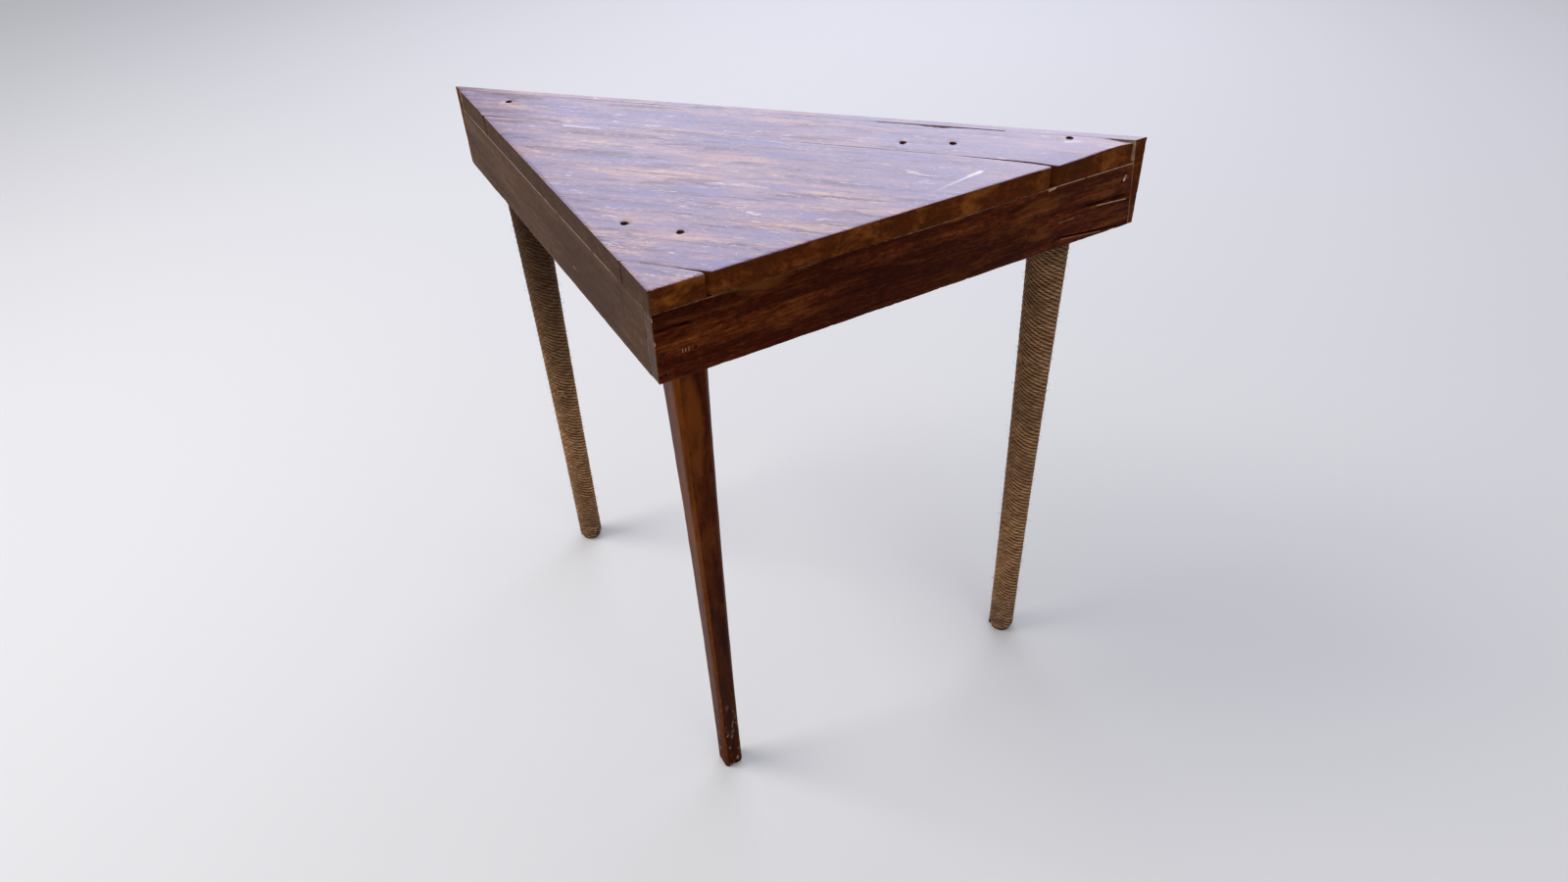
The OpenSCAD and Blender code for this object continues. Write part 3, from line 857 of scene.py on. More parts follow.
def steel_look(name, clean, rust, amount, shine=0.7, varnish=None):
    """Dull fixing steel with rust; varnish is the level of amber shine on a head that was stained over."""
    look, g, shader = new_material(name)
    place = g.add("ShaderNodeTexCoord").outputs["Object"]
    blotch = g.band(g.noise(place, 480.0, 4.0, 0.65), 0.62 - amount * 0.3, 0.72)
    g.feed(shader, {"Base Color": g.mix(blotch, clean, rust),
                    "Metallic": g.band(blotch, 0.0, 1.0, shine, 0.02),
                    "Roughness": g.band(blotch, 0.0, 1.0, 0.42, 0.85)})
    bump(g, shader, g.noise(place, 900.0, 3.0), 0.3, 0.0004)
    if varnish is not None:
        warm_gloss(g, shader, varnish)
    return look


def build_materials(settings):
    """All the materials, by the name of the finish."""
    for build in (build_wood_figure, build_arris_wear, build_dust_specks, build_line_mark):
        build()
    s = table_sizes()
    f = settings.finish
    eighth_turn = math.pi / 4
    dark = {"deep": f.apron_deep, "mid": f.apron_stain, "warm": f.apron_warm, "amber": f.apron_amber,
            "pale": (0.48, 0.30, 0.20), "white": (0.80, 0.79, 0.78)}
    # The paler, greyer left-hand colours are partly stain and partly painted light from the left; they go on
    # the left apron, the top boards' left-facing edges and the right apron's left-facing end
    dull = {"deep": (0.050, 0.028, 0.018), "mid": f.left_stain_and_sky_light, "warm": (0.125, 0.072, 0.045),
            "amber": (0.15, 0.075, 0.036), "pale": (0.42, 0.32, 0.26), "dark": (0.02, 0.01, 0.008)}
    top = {"deep": f.top_deep, "blue": f.top_blue, "lilac": f.top_lilac, "haze_and_sky_reflection": f.top_haze_and_sky_reflection,
           "pink": f.top_pink, "bare": f.top_bare, "cream": (0.66, 0.52, 0.50), "painted_sky_sheen": (0.50, 0.42, 0.56),
           "dust": (0.88, 0.85, 0.86), "arris": (0.58, 0.40, 0.36), "amber": f.apron_amber, "right": dark,
           "left": dull}
    back = {key: colour for key, colour in top.items() if key != "left"}
    # In the leg's colours, thin is the paler colour painted on the faces toward the light from the left and
    # front
    leg = {"deep": (0.010, 0.0020, 0.0008), "mid": f.leg_stain, "warm": (0.085, 0.017, 0.0030),
           "amber": (0.19, 0.050, 0.0065), "thin": (0.24, 0.100, 0.032), "pale": (0.42, 0.30, 0.22)}
    jute = {"dark": (0.16, 0.074, 0.028), "mid": f.jute, "light": (0.80, 0.48, 0.23),
            "crease_shade": (0.020, 0.007, 0.002), "stain": (0.15, 0.075, 0.035), "earth": (0.08, 0.055, 0.042),
            "painted_apron_shade": (0.032, 0.010, 0.004)}
    fuzz = dict(jute, dark=(0.28, 0.18, 0.09), mid=(0.42, 0.28, 0.15), light=(0.60, 0.44, 0.27))

    def on_top(x, w):
        return (x, s["back"] - w, s["top"])

    def on_side(hand, along, drop):
        p = Vector((0, s["front"], s["top"] - drop)) + SIDE_RUN[hand] * along
        return tuple(p)

    def scuffs(hand, rows):
        """Scuffs, marks and painted highlight lines, from rows of two points (distance along the apron,
        drop), width, colour and strength.
        """
        return [(on_side(hand, *start), on_side(hand, *end), width, colour, strength)
                for start, end, width, colour, strength in rows]

    # Painted highlights: the rows at a drop of 26.5 to 28.5 mm paint the light caught by the apron's upper
    # arris under the top, the white row paints the bright slot of the gouge near the back end, and the rows
    # just below the splits paint their lit lips; the others are scuffs and marks
    right_marks = scuffs(1, [
        ((0.470, 0.0265), (0.597, 0.0272), 0.0011, "pale", 0.85),
        ((0.290, 0.0268), (0.470, 0.0266), 0.0008, "pale", 0.30),
        ((0.474, 0.0285), (0.482, 0.0270), 0.0030, "pale", 0.8),
        ((0.548, 0.0665), (0.592, 0.0700), 0.0014, "pale", 0.8),
        ((0.495, 0.0730), (0.516, 0.0722), 0.0011, "pale", 0.55),
        ((0.500, 0.0950), (0.560, 0.1020), 0.0012, "pale", 0.35),
        ((0.5845, 0.0455), (0.5870, 0.0400), 0.0024, "white", 1.0),
        *[((along, 0.0732), (along, 0.0772), 0.0007, "pale", 0.7) for along in (0.0285, 0.0315, 0.0350)],
        *[((0.0007, drop), (0.0009, drop + 0.004), 0.0012, "pale", 0.8) for drop in (0.030, 0.045, 0.0565)]])
    # Painted highlights: the first row paints the light caught by the apron's upper arris under the top, and
    # the second the lit lip of the small split; the dark row is a mark
    left_marks = scuffs(-1, [
        ((0.100, 0.0266), (0.600, 0.0266), 0.0009, "pale", 0.7),
        ((0.205, 0.0790), (0.222, 0.0800), 0.0012, "pale", 0.6),
        ((0.075, 0.0280), (0.072, 0.0660), 0.0030, "dark", 0.6)])
    return {
        "top_back": top_look("varnish_top_back", top, (0.3, 0.02, 0.06), [
            (on_top(0.345, 0.030), on_top(0.358, 0.026), 0.006, 0.5, 0.6)]),
        "top_middle": top_look("varnish_top_middle", top, (0.9, 0.11, 0.09), [
            (on_top(0.262, 0.124), on_top(0.252, 0.136), 0.0055, 0.95, 0.5),
            (on_top(0.255, 0.133), on_top(0.210, 0.196), 0.0040, 0.5, 0.0),
            (on_top(-0.236, 0.092), on_top(-0.190, 0.094), 0.0045, 0.55, 0.6)]),
        "top_front": top_look("varnish_top_front", top, (1.7, 0.25, 0.05)),
        # The right apron's end faces left and takes the paler left-hand colours as painted light
        "right": stained_look("varnish_right_apron", eighth_turn, (0.2, 0.31, 0.03), dark, amber=0.45,
                              marks=right_marks, butt=((0.0, s["front"], 0.0), tuple(SIDE_RUN[1]), dull)),
        "left": stained_look("stain_and_sky_light_left_apron", -eighth_turn, (0.4, 0.27, 0.02), dull, gloss=0.5, amber=0.2,
                             marks=left_marks, rub=0.35, level=0.05),
        "back": top_look("varnish_back_apron", back, (1.1, -0.2, 0.01), amber=0.4),
        "leg": leg_look("varnish_front_leg", leg),
        "batten": raw_look("sawn_batten", eighth_turn, (0.1, 0.05, 0.02), (0.58, 0.42, 0.26),
                           (0.36, 0.22, 0.12)),
        "blocks": raw_look("sawn_blocks", eighth_turn, (0.6, 0.2, 0.3), (0.62, 0.46, 0.29),
                           (0.38, 0.24, 0.13)),
        "core": raw_look("turned_core", 2 * eighth_turn, (0.2, 0.4, 0.1), (0.085, 0.052, 0.034),
                         (0.045, 0.026, 0.016)),
        # The last number is how much painted shade from the table darkens each winding near the aprons
        "left_jute": jute_look("jute_left", jute, s["neck"], 0.90),
        "right_jute": jute_look("jute_right", jute, s["neck"], 0.20),
        "fuzz": jute_look("jute_fuzz", fuzz, s["neck"], 0.4),
        "screw": steel_look("dull_screw_steel", (0.32, 0.30, 0.28), (0.14, 0.06, 0.03), 0.5),
        "stained_nail": steel_look("stained_nail_heads", (0.030, 0.009, 0.0045), (0.016, 0.004, 0.0015), 0.6,
                                   shine=0.0, varnish=0.08),
        "nail": steel_look("dark_nail_steel", (0.060, 0.040, 0.030), (0.055, 0.020, 0.010), 0.9),
    }


def leg_look(name, palette):
    """Stained turned wood whose grain runs up the leg, scuffed at its foot."""
    look, g, shader = new_material(name)
    place = g.add("ShaderNodeTexCoord").outputs["Object"]
    turned = g.add("ShaderNodeMapping", {"Vector": place, "Location": (0.3, 0.21, 0.03),
                                         "Rotation": (0, math.pi / 2, 0)}, vector_type="POINT")
    grain = turned.outputs[0]
    figure = g.group("wood_figure", {"Vector": grain, "Ring Width": 0.006, "Warp": 0.01})
    mottle = g.drawn(grain, (60, 160, 160), 5.0, 0.72, 0.4)
    tone = g.plus(g.times(figure["Streaks"], 0.55), g.times(mottle, 0.45))
    base = g.ramp(tone, [(0.36, palette["deep"]), (0.50, palette["mid"]), (0.64, palette["warm"])])
    base = g.tint(base, figure["Rings"], 0.30, palette["deep"])
    patches = g.drawn(g.vector("ADD", grain, (0.9, 0.4, 0)), (9, 26, 26), 5.0, 0.62, 0.6)
    height = g.axes(place)[2]
    amber = g.times(g.band(patches, 0.46, 0.66), g.band(height, 0.10, 0.62, 0.10, 0.55))
    base = g.mix(amber, base, palette["amber"])
    base = g.mix(g.band(height, 0.48, 0.05, 0.0, 0.40), base, palette["deep"])
    # Partly faded stain and partly painted light: the faces to the left and front are painted paler, by the
    # per-face attribute read here
    faded_and_lit = g.attribute("faded_and_lit")
    thin = g.ramp(tone, [(0.36, palette["warm"]), (0.50, palette["amber"]), (0.64, palette["thin"])])
    base = g.tint(base, faded_and_lit, 0.70, thin)
    rubbed = wear_mask(g, place, 0.42, 180.0)
    base = g.tint(base, rubbed, 0.6, palette["amber"])
    low = g.band(height, 0.16, 0.0)
    scuffs = g.band(g.drawn(place, (140, 140, 60), 5.0, 0.7), 0.56, 0.66)
    base = g.tint(base, g.times(low, scuffs), 0.9, palette["pale"])
    base = g.tint(base, speck_mask(g, place, 210.0, 0.10, 0.16), 0.5, palette["pale"])
    dull = g.plus(g.times(patches, 0.25), g.times(low, 0.25))
    g.feed(shader, {"Base Color": base, "Roughness": g.plus(dull, 0.3)})
    warm_gloss(g, shader, 0.06)
    relief = g.plus(g.times(figure["Fibre"], 0.5), g.times(figure["Rings"], -0.4))
    bump(g, shader, relief, 0.3, 0.0008)
    return look


MADE = {}


def look_of(context, key):
    """One of the finishes; all of them are made the first time that one is asked for."""
    if not MADE:
        MADE.update({k: m.name for k, m in build_materials(context.scene.corner_table).items()})
    return bpy.data.materials[MADE[key]]


# ---------------------------------------------------------------- geometry node trees

def build_ply_tree():
    """Turns a line of points into twine of two plies, turned by the line's phase; stores lobe and run."""
    tree, g, given, result = new_group(
        "ply_twine",
        {"Line": ("NodeSocketGeometry", None), "Thickness": ("NodeSocketFloat", 0.0036),
         "Profile Points": ("NodeSocketInt", 8), "Upright": ("NodeSocketBool", True),
         "Material": ("NodeSocketMaterial", None)},
        {"Twine": "NodeSocketGeometry"}, "GeometryNodeTree")
    out = given.outputs
    curve = g.add("GeometryNodeMeshToCurve", {"Mesh": out["Line"]}).outputs["Curve"]
    upright = g.add("GeometryNodeSetCurveNormal", {"Curve": curve}, mode="Z_UP").outputs["Curve"]
    free = g.add("GeometryNodeSetCurveNormal", {"Curve": curve}, mode="MINIMUM_TWIST").outputs["Curve"]
    chosen = g.add("GeometryNodeSwitch", {"Switch": out["Upright"], "False": free, "True": upright},
                   input_type="GEOMETRY")
    length = g.add("GeometryNodeSplineParameter").outputs["Length"]
    tilt = g.stored("phase")
    tilted = g.add("GeometryNodeSetCurveTilt", {"Curve": chosen.outputs[0], "Tilt": tilt}).outputs["Curve"]
    running = g.add("GeometryNodeStoreNamedAttribute", {"Geometry": tilted, "Name": "run", "Value": length},
                    data_type="FLOAT", domain="POINT").outputs["Geometry"]
    circle = g.add("GeometryNodeCurvePrimitiveCircle", {"Resolution": out["Profile Points"], "Radius": 1.0},
                   mode="RADIUS").outputs["Curve"]
    angle = g.times(g.add("GeometryNodeSplineParameter").outputs["Factor"], FULL_TURN)
    swell = g.math("ABSOLUTE", g.math("COSINE", angle))
    size = g.times(g.plus(g.times(swell, 0.42), 0.58), out["Thickness"])
    scaled = g.add("ShaderNodeVectorMath", {0: g.add("GeometryNodeInputPosition").outputs[0],
                                           "Scale": g.times(size, 0.5)}, operation="SCALE").outputs[0]
    shaped = g.add("GeometryNodeSetPosition", {"Geometry": circle, "Position": scaled}).outputs["Geometry"]
    marked = g.add("GeometryNodeStoreNamedAttribute", {"Geometry": shaped, "Name": "lobe", "Value": swell},
                   data_type="FLOAT", domain="POINT").outputs["Geometry"]
    body = g.add("GeometryNodeCurveToMesh", {"Curve": running, "Profile Curve": marked, "Fill Caps": True})
    smooth = g.add("GeometryNodeSetShadeSmooth", {"Geometry": body.outputs["Mesh"]}).outputs["Geometry"]
    g.finish(smooth, out["Material"], result)
    return tree


def build_fuzz_tree():
    """Scatters short bent fibres over a carrier surface."""
    tree, g, given, result = new_group(
        "jute_fibres",
        {"Carrier": ("NodeSocketGeometry", None), "Density": ("NodeSocketFloat", 30000.0),
         "Fibre Length": ("NodeSocketFloat", 0.006), "Fibre Thickness": ("NodeSocketFloat", 0.00018),
         "Seed": ("NodeSocketInt", 3), "Material": ("NodeSocketMaterial", None)},
        {"Fibres": "NodeSocketGeometry"}, "GeometryNodeTree")
    out = given.outputs
    spread = g.add("GeometryNodeDistributePointsOnFaces", {"Mesh": out["Carrier"], "Density": out["Density"],
                                                           "Seed": out["Seed"]}, distribute_method="RANDOM")
    bend = g.add("GeometryNodeCurvePrimitiveBezierSegment", {
        "Resolution": 4, "Start": (0, 0, -0.0004), "Start Handle": (0.0001, 0, 0.0006),
        "End Handle": (0.0020, 0.0004, 0.0009), "End": (0.0052, -0.0004, 0.0011)},
        mode="POSITION").outputs["Curve"]
    radius = g.times(out["Fibre Thickness"], 0.5)
    ring = g.add("GeometryNodeCurvePrimitiveCircle", {"Resolution": 3, "Radius": radius}, mode="RADIUS")
    hair = g.add("GeometryNodeCurveToMesh", {"Curve": bend, "Profile Curve": ring.outputs["Curve"],
                                             "Fill Caps": True}).outputs["Mesh"]
    spin = g.random(0.0, FULL_TURN, out["Seed"])
    lift = g.random(-0.75, 0.0, g.plus(out["Seed"], 5.0))
    turned = g.turned(spread.outputs["Rotation"], {1: lift, 2: spin})
    size = g.random(0.45, 1.5, g.plus(out["Seed"], 9.0))
    grown = g.times(size, g.math("DIVIDE", out["Fibre Length"], 0.006))
    placed = g.add("GeometryNodeInstanceOnPoints", {"Points": spread.outputs["Points"], "Instance": hair,
                                                    "Rotation": turned, "Scale": grown})
    g.finish(placed.outputs[0], out["Material"], result)
    return tree


def build_fixing_tree():
    """Sets one blank at every point, along the point's axis attribute and spun by its spin attribute."""
    tree, g, given, result = new_group(
        "set_fixings",
        {"Places": ("NodeSocketGeometry", None), "Blank": ("NodeSocketObject", None),
         "Material": ("NodeSocketMaterial", None)},
        {"Fixings": "NodeSocketGeometry"}, "GeometryNodeTree")
    out = given.outputs
    blank = g.add("GeometryNodeObjectInfo", {"Object": out["Blank"]}).outputs["Geometry"]
    axis = g.stored("axis", "FLOAT_VECTOR")
    spin = g.stored("spin")
    aligned = g.add("FunctionNodeAlignRotationToVector", {"Vector": axis}, axis="Z").outputs["Rotation"]
    placed = g.add("GeometryNodeInstanceOnPoints", {"Points": out["Places"], "Instance": blank,
                                                    "Rotation": g.turned(aligned, {2: spin})})
    g.finish(placed.outputs[0], out["Material"], result)
    return tree


TREES = {"ply_twine": build_ply_tree, "jute_fibres": build_fuzz_tree, "set_fixings": build_fixing_tree}


def grown(name, mesh, tree_name, values, turn=None):
    """Runs a geometry node tree over a mesh and returns the result as a plain piece."""
    tree = bpy.data.node_groups.get(tree_name) or TREES[tree_name]()
    carrier = new_object(name + "_seed", mesh)
    modifier = carrier.modifiers.new("nodes", "NODES")
    modifier.node_group = tree
    for item in tree.interface.items_tree:
        if item.item_type == "SOCKET" and item.in_out == "INPUT" and item.name in values:
            modifier[item.identifier] = values[item.name]
    graph = bpy.context.evaluated_depsgraph_get()
    graph.update()
    made = bpy.data.meshes.new_from_object(carrier.evaluated_get(graph), depsgraph=graph)
    bpy.data.objects.remove(carrier)
    bpy.data.meshes.remove(mesh)
    if not len(made.polygons):
        raise RuntimeError(f"{name}: the tree {tree_name} made no faces")
    made.name = name
    if turn is not None:
        made.transform(turn)
    return new_object(name, made)


def line_mesh(name, points, phases):
    """A line of points, with the turn of the twine's plies stored at each."""
    mesh = bpy.data.meshes.new(name)
    mesh.from_pydata([tuple(p) for p in points], [(i, i + 1) for i in range(len(points) - 1)], [])
    mesh.attributes.new("phase", "FLOAT", "POINT").data.foreach_set("value", phases)
    return mesh


# ---------------------------------------------------------------- pieces: top and aprons

def screw_holes(name, radius, depth):
    """Screw holes that open on a board's upper face."""
    ring = np.array(plan_outline(name))
    found = []
    for node in ("batten_screws", "leg_screws"):
        for head, _ in fixings(node):
            if inside(np.array([[head.x, head.y]]), ring)[0]:
                found.append(((head.x, head.y), radius, depth))
    return found


def side_worn_down(p, s, near, deep):
    """How far the right-hand end of a top board is worn down, from the distances to its tip and side."""
    edge = (s["half"] - p[:, 0] - (s["back"] - p[:, 1])) * SQ
    along = (s["back"] - p[:, 1]) / SQ
    shape = np.interp(along, near, deep)
    return shape * np.exp(-(edge / (16 * MM)) ** 2)


def build_top(context, wood):
    """The three boards of the top, with their joints closed up."""
    s = table_sizes()
    arris = wood.arris_radius

    def at_top(q, d):
        return q[0], q[1], s["top"] - d

    def back_sink(p):
        return side_worn_down(p, s, [0, 0.018, 0.035, 0.062, 0.095, 0.13],
                              [3.2 * MM, 2.6 * MM, 0.6 * MM, 0.2 * MM, 1.5 * MM, 1.9 * MM])

    def middle_sink(p):
        tip = side_worn_down(p, s, [0.10, 0.13, 0.16, 0.22], [1.1 * MM, 1.0 * MM, 0.3 * MM, 0])
        return tip + 0.25 * MM * np.clip(field(p[:, 0] / 0.09, p[:, 1] / 0.03, 8), 0, 1)

    def joint_ease(ring):
        sides = (s["half"] - abs(ring[:, 0]) - (s["back"] - ring[:, 1])) * SQ
        return 0.22 + 0.78 * np.clip(1 - (sides - 1 * MM) / (6 * MM), 0, 1)

    def closed_up(corners, name):
        """The outline's corners with their fillets, moved so that only a thin joint shows."""
        closed = []
        for x, y in corners:
            depth = s["back"] - y
            at_side = (s["half"] - abs(x) - depth) * SQ < 2 * MM
            if name == "top_board_back":
                y += 0.35 * MM if depth < 20 * MM else -0.15 * MM
            elif name == "top_board_middle" and not at_side:
                y += 0.2 * MM
            elif name == "top_board_middle" and depth > 0.3 and x < 0:
                y -= 0.15 * MM
            elif name == "top_board_front" and (x < 0 or not at_side) and depth < s["half"] - 0.03:
                y += 0.2 * MM
            closed.append((x, y, 2.6 * MM if at_side and x > 0 and depth > 60 * MM else 1.5 * MM))
        return closed

    thick = s["top"] - s["under"]
    crack = s["back"] - 12.2 * MM
    splits = [([(0.128, crack), (0.20, crack - 0.5 * MM), (0.272, crack)], 1.7 * MM, 7 * MM),
              ([(0.395, crack), (0.409, crack)], 1.6 * MM, 5 * MM)]
    for name, sink, cuts, guard in (("top_board_back", back_sink, splits, 1.6),
                                    ("top_board_middle", middle_sink, [], 4.2),
                                    ("top_board_front", None, [], 4.2)):
        corners = closed_up(plan_outline(name), name)
        holes = screw_holes(name, 4.2 * MM, 5.3 * MM)
        piece = plank("boards_" + name, corners, thick, at_top, sink, holes, cuts, arris,
                      seed=len(name) + wood.seed, wear=wood.wear, guard_share=guard, ease=joint_ease)
        finish_piece(piece, look_of(context, name.replace("top_board", "top")), "top_wood", name)


def side_apron_place(hand, s, start, length):
    """Turns a side apron's face points (distance from the front corner, height) and depths into positions."""
    corner = Vector((0, s["front"], 0))
    run, out = SIDE_RUN[hand], SIDE_OUT[hand]

    def place(q, d):
        along = start + (q[0] - start) * (1 - d / (length - start))
        p = corner + run * along - out * d
        return p.x, p.y, q[1]

    return place


def build_side_apron(context, wood, hand):
    """The right apron, hand 1, whose end shows at the front corner, or the left one, hand -1."""
    s = table_sizes()
    name = "right_apron" if hand > 0 else "left_apron"
    top, neck = s["neck"] + s["apron_h"], s["neck"]
    thick = wood.apron_thickness
    start = 0.0 if hand > 0 else thick
    share = (top - neck) / (s["top"] - neck)
    t_low, t_high = s["back_t"]
    end_low = s["side"] - t_low / SQ
    end_high = s["side"] - (t_low + (t_high - t_low) * share) / SQ
    corners = [(start, neck), (end_low, neck), (end_high, top), (start, top)]

    def level(d):
        return s["top"] - d * MM

    cuts, holes = [], []
    if hand > 0:
        cuts = [([(-0.002, level(46.5)), (0.018, level(45.4)), (0.038, level(46))], 1.3 * MM, 4 * MM),
                ([(0.528, level(62.6)), (0.56, level(63.6)), (0.5945, level(65))], 1.7 * MM, 4.5 * MM),
                ([(0.556, level(63.9)), (0.575, level(64.6)), (0.5945, level(66.5))], 3.4 * MM, 3.5 * MM),
                ([(0.490, level(91.5)), (0.545, level(98)), (0.5985, level(103))], 1.4 * MM, 3.5 * MM),
                ([(0.582, level(46.5)), (0.587, level(39))], 2.4 * MM, 5 * MM),
                ([(0.493, level(72.4)), (0.516, level(71.6))], 0.9 * MM, 1.2 * MM)]
        for node in ("corner_nails", "front_leg_nails"):
            for head, _ in fixings(node):
                along = (head - Vector((0, s["front"], 0))).dot(SIDE_RUN[1])
                holes.append(((along, head.z), 2.6 * MM, 0.9 * MM))
    else:
        cuts = [([(0.196, level(79)), (0.224, level(79.5))], 0.8 * MM, 0.8 * MM)]
    place = side_apron_place(hand, s, start, end_low)
    piece = plank("board_" + name, corners, thick, place, None, holes, cuts, wood.arris_radius * 0.8,
                  seed=31 + hand + wood.seed, wear=wood.wear, guard_share=3.6)
    key = "right" if hand > 0 else "left"
    finish_piece(piece, look_of(context, key), "apron_wood" if hand > 0 else "left_apron_wood", name)


def build_back_apron(context, wood):
    """The back apron, whose upper edge shows behind the top."""
    s = table_sizes()
    t_low, t_high = s["back_t"]
    neck, top, half = s["neck"], s["top"], s["half"]

    def thickness(p):
        return t_low + (t_high - t_low) * (p[:, 1] - neck) / (top - neck)

    def place(q, d):
        return q[0] * (1 - d / half), s["back"] - d, q[1]

    holes = []
    for node in ("back_edge_nails", "back_end_nails", "rear_leg_nails"):
        for head, _ in fixings(node):
            holes.append(((head.x, head.z), 2.6 * MM, 0.9 * MM))
    corners = [(-half, neck), (half, neck), (half, top), (-half, top)]
    piece = plank("board_back_apron", corners, thickness, place, None, holes, (), wood.arris_radius * 0.6,
                  seed=57 + wood.seed, wear=wood.wear, guard_share=3.0,
                  shown=lambda ring: (ring[:, 1] > top - NEAR).astype(float))
    finish_piece(piece, look_of(context, "back"), "apron_wood", "back_apron")


def build_batten(context):
    """The batten under the boards, just clear of them."""
    low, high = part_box("cross_batten")

    def place(q, d):
        return q[0], q[1], low.z + d

    piece = plank("board_cross_batten", plan_outline("cross_batten"), high.z - low.z - 0.2 * MM, place,
                  arris=0.8 * MM, step=6 * MM, cell=(20 * MM, 12 * MM), seed=71, wear=0.4)
    finish_piece(piece, look_of(context, "batten"), "raw_wood", "cross_batten")


def softened(name, node, width):
    """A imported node's shape with its sharp edges eased."""
    bm = bmesh.new()
    bm.from_mesh(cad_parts[node].data)
    bmesh.ops.remove_doubles(bm, verts=bm.verts, dist=0.01 * MM)
    bmesh.ops.dissolve_limit(bm, angle_limit=0.02, verts=bm.verts, edges=bm.edges)
    sharp = [e for e in bm.edges if len(e.link_faces) == 2 and e.calc_face_angle(0) > 0.5]
    bmesh.ops.bevel(bm, geom=sharp, offset=width, segments=2, profile=0.5, affect="EDGES")
    mesh = bpy.data.meshes.new(name)
    bm.to_mesh(mesh)
    bm.free()
    return smooth_piece(name, mesh)


# ---------------------------------------------------------------- pieces: legs

def build_front_leg(context):
    """The tapered front leg, square with wide chamfers."""
    s = table_sizes()
    foot, head = leg_axis("front_leg")
    across = [width_along("front_leg", z, SIDE_OUT[1], 1.5 * MM) for z in (0.0, s["neck"])]
    out, run = SIDE_OUT[1], SIDE_RUN[1]
    verts, marks, faded_and_lit_values, faces = [], [], [], []
    # How much paler each of the eight faces is, partly faded stain and partly painted light from the left;
    # the last is the front chamfer
    paleness = (0.0, 0.0, 0.0, 0.1, 0.1, 0.3, 0.5, 0.8)
    top = head.z / MM
    heights = [0, 0.3, 0.9, 1.8, 3.2, *np.arange(9, 654, 7.5), 660, 690, 715, top - 1.2, top - 0.4, top]
    for row, height in enumerate(heights):
        z = height * MM
        share = (min(z, s["neck"]) / s["neck"]) ** 2
        wide = across[0] + (across[1] - across[0]) * share
        centre = foot.lerp(head, z / head.z)
        a, cut = wide / 2, wide * 0.875 / 2 * math.sqrt(2)
        b = cut * math.sqrt(2) - a
        base = [(a, -b), (a, b), (b, a), (-b, a), (-a, b), (-a, -b), (-b, -a), (b, -a)]
        pull = {0: 1.6, 0.3: 0.9, 0.9: 0.4, 1.8: 0.12}.get(height, 0.0) * MM
        if height > top - 1:
            pull = 0.6 * MM if height > top - 0.2 else 0.25 * MM
        ring, worn, faded_and_lit = [], [], []
        for k in range(8):
            p0, p, p1 = (Vector(base[(k + j) % 8]) for j in (-1, 0, 1))
            back, ahead = (p0 - p).length, (p1 - p).length
            r = 1.1 * MM * (1 + 0.5 * math.sin(z * 61 + k * 1.9) + 0.3 * math.sin(z * 173 + k * 5))
            r = max(0.3 * MM, min(r, ahead * 0.3, back * 0.3))
            start, end = p + (p0 - p).normalized() * r, p + (p1 - p).normalized() * r
            ring += [start, start.lerp(p, 0.5).lerp(p.lerp(end, 0.5), 0.5), end]
            worn += [0.8, 1.0, 0.8]
            faded_and_lit += [paleness[k - 1], (paleness[k - 1] + paleness[k]) / 2, paleness[k]]
            ring += [end.lerp(p1, t) for t in (0.14, 0.5, 0.86)]
            worn += [0.0] * 3
            faded_and_lit += [paleness[k]] * 3
        count = len(ring)
        for i, p in enumerate(ring):
            wave = float(field(np.array([i * 0.45]), np.array([z / 0.05]), 12)[0])
            fine = float(field(np.array([i * 1.7]), np.array([z / 0.012]), 13)[0])
            q = p * (1 - (pull + 0.25 * MM * (wave + 1) * 0.5 + 0.08 * MM * (fine + 1)) / a)
            verts.append(centre + out * q.x + run * q.y)
            marks.append(worn[i] if 0 < row < len(heights) - 1 else 0.6)
            faded_and_lit_values.append(faded_and_lit[i])
    for a in range(0, len(verts) - count, count):
        faces += ring_faces(range(a, a + count), range(a + count, a + 2 * count))
    faces.append(tuple(reversed(range(count))))
    faces.append(tuple(range((len(heights) - 1) * count, len(heights) * count)))
    piece = solid_piece("turned_front_leg", verts, faces, {"wear": marks, "faded_and_lit": faded_and_lit_values}, sharp=40)
    finish_piece(piece, look_of(context, "leg"), "leg_wood", "front_leg")


def core_measures(side):
    """A wound leg's radii at the floor and at the aprons, its lean, and the two ends of its winding."""
    s = table_sizes()
    name = f"{side}_leg_core"
    foot, head = leg_axis(name)
    wrap_low, wrap_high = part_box(f"{side}_twine_wrap")
    way = (head - foot).normalized()
    across = UP.cross(way).normalized()
    radii = [width_along(name, z, across, 1.5 * MM) / 2 for z in (0.0, s["neck"])]
    turn = Matrix.Translation(foot) @ UP.rotation_difference(way).to_matrix().to_4x4()
    clear = 0.6 * MM
    return {"radii": radii, "turn": turn, "low": wrap_low.z + clear, "high": wrap_high.z - clear,
            "neck": s["neck"]}


def core_radius(m, z):
    """A core's radius at a height, growing with its square up to the aprons."""
    low, high = m["radii"]
    return low + (high - low) * (min(max(z, 0), m["neck"]) / m["neck"]) ** 2


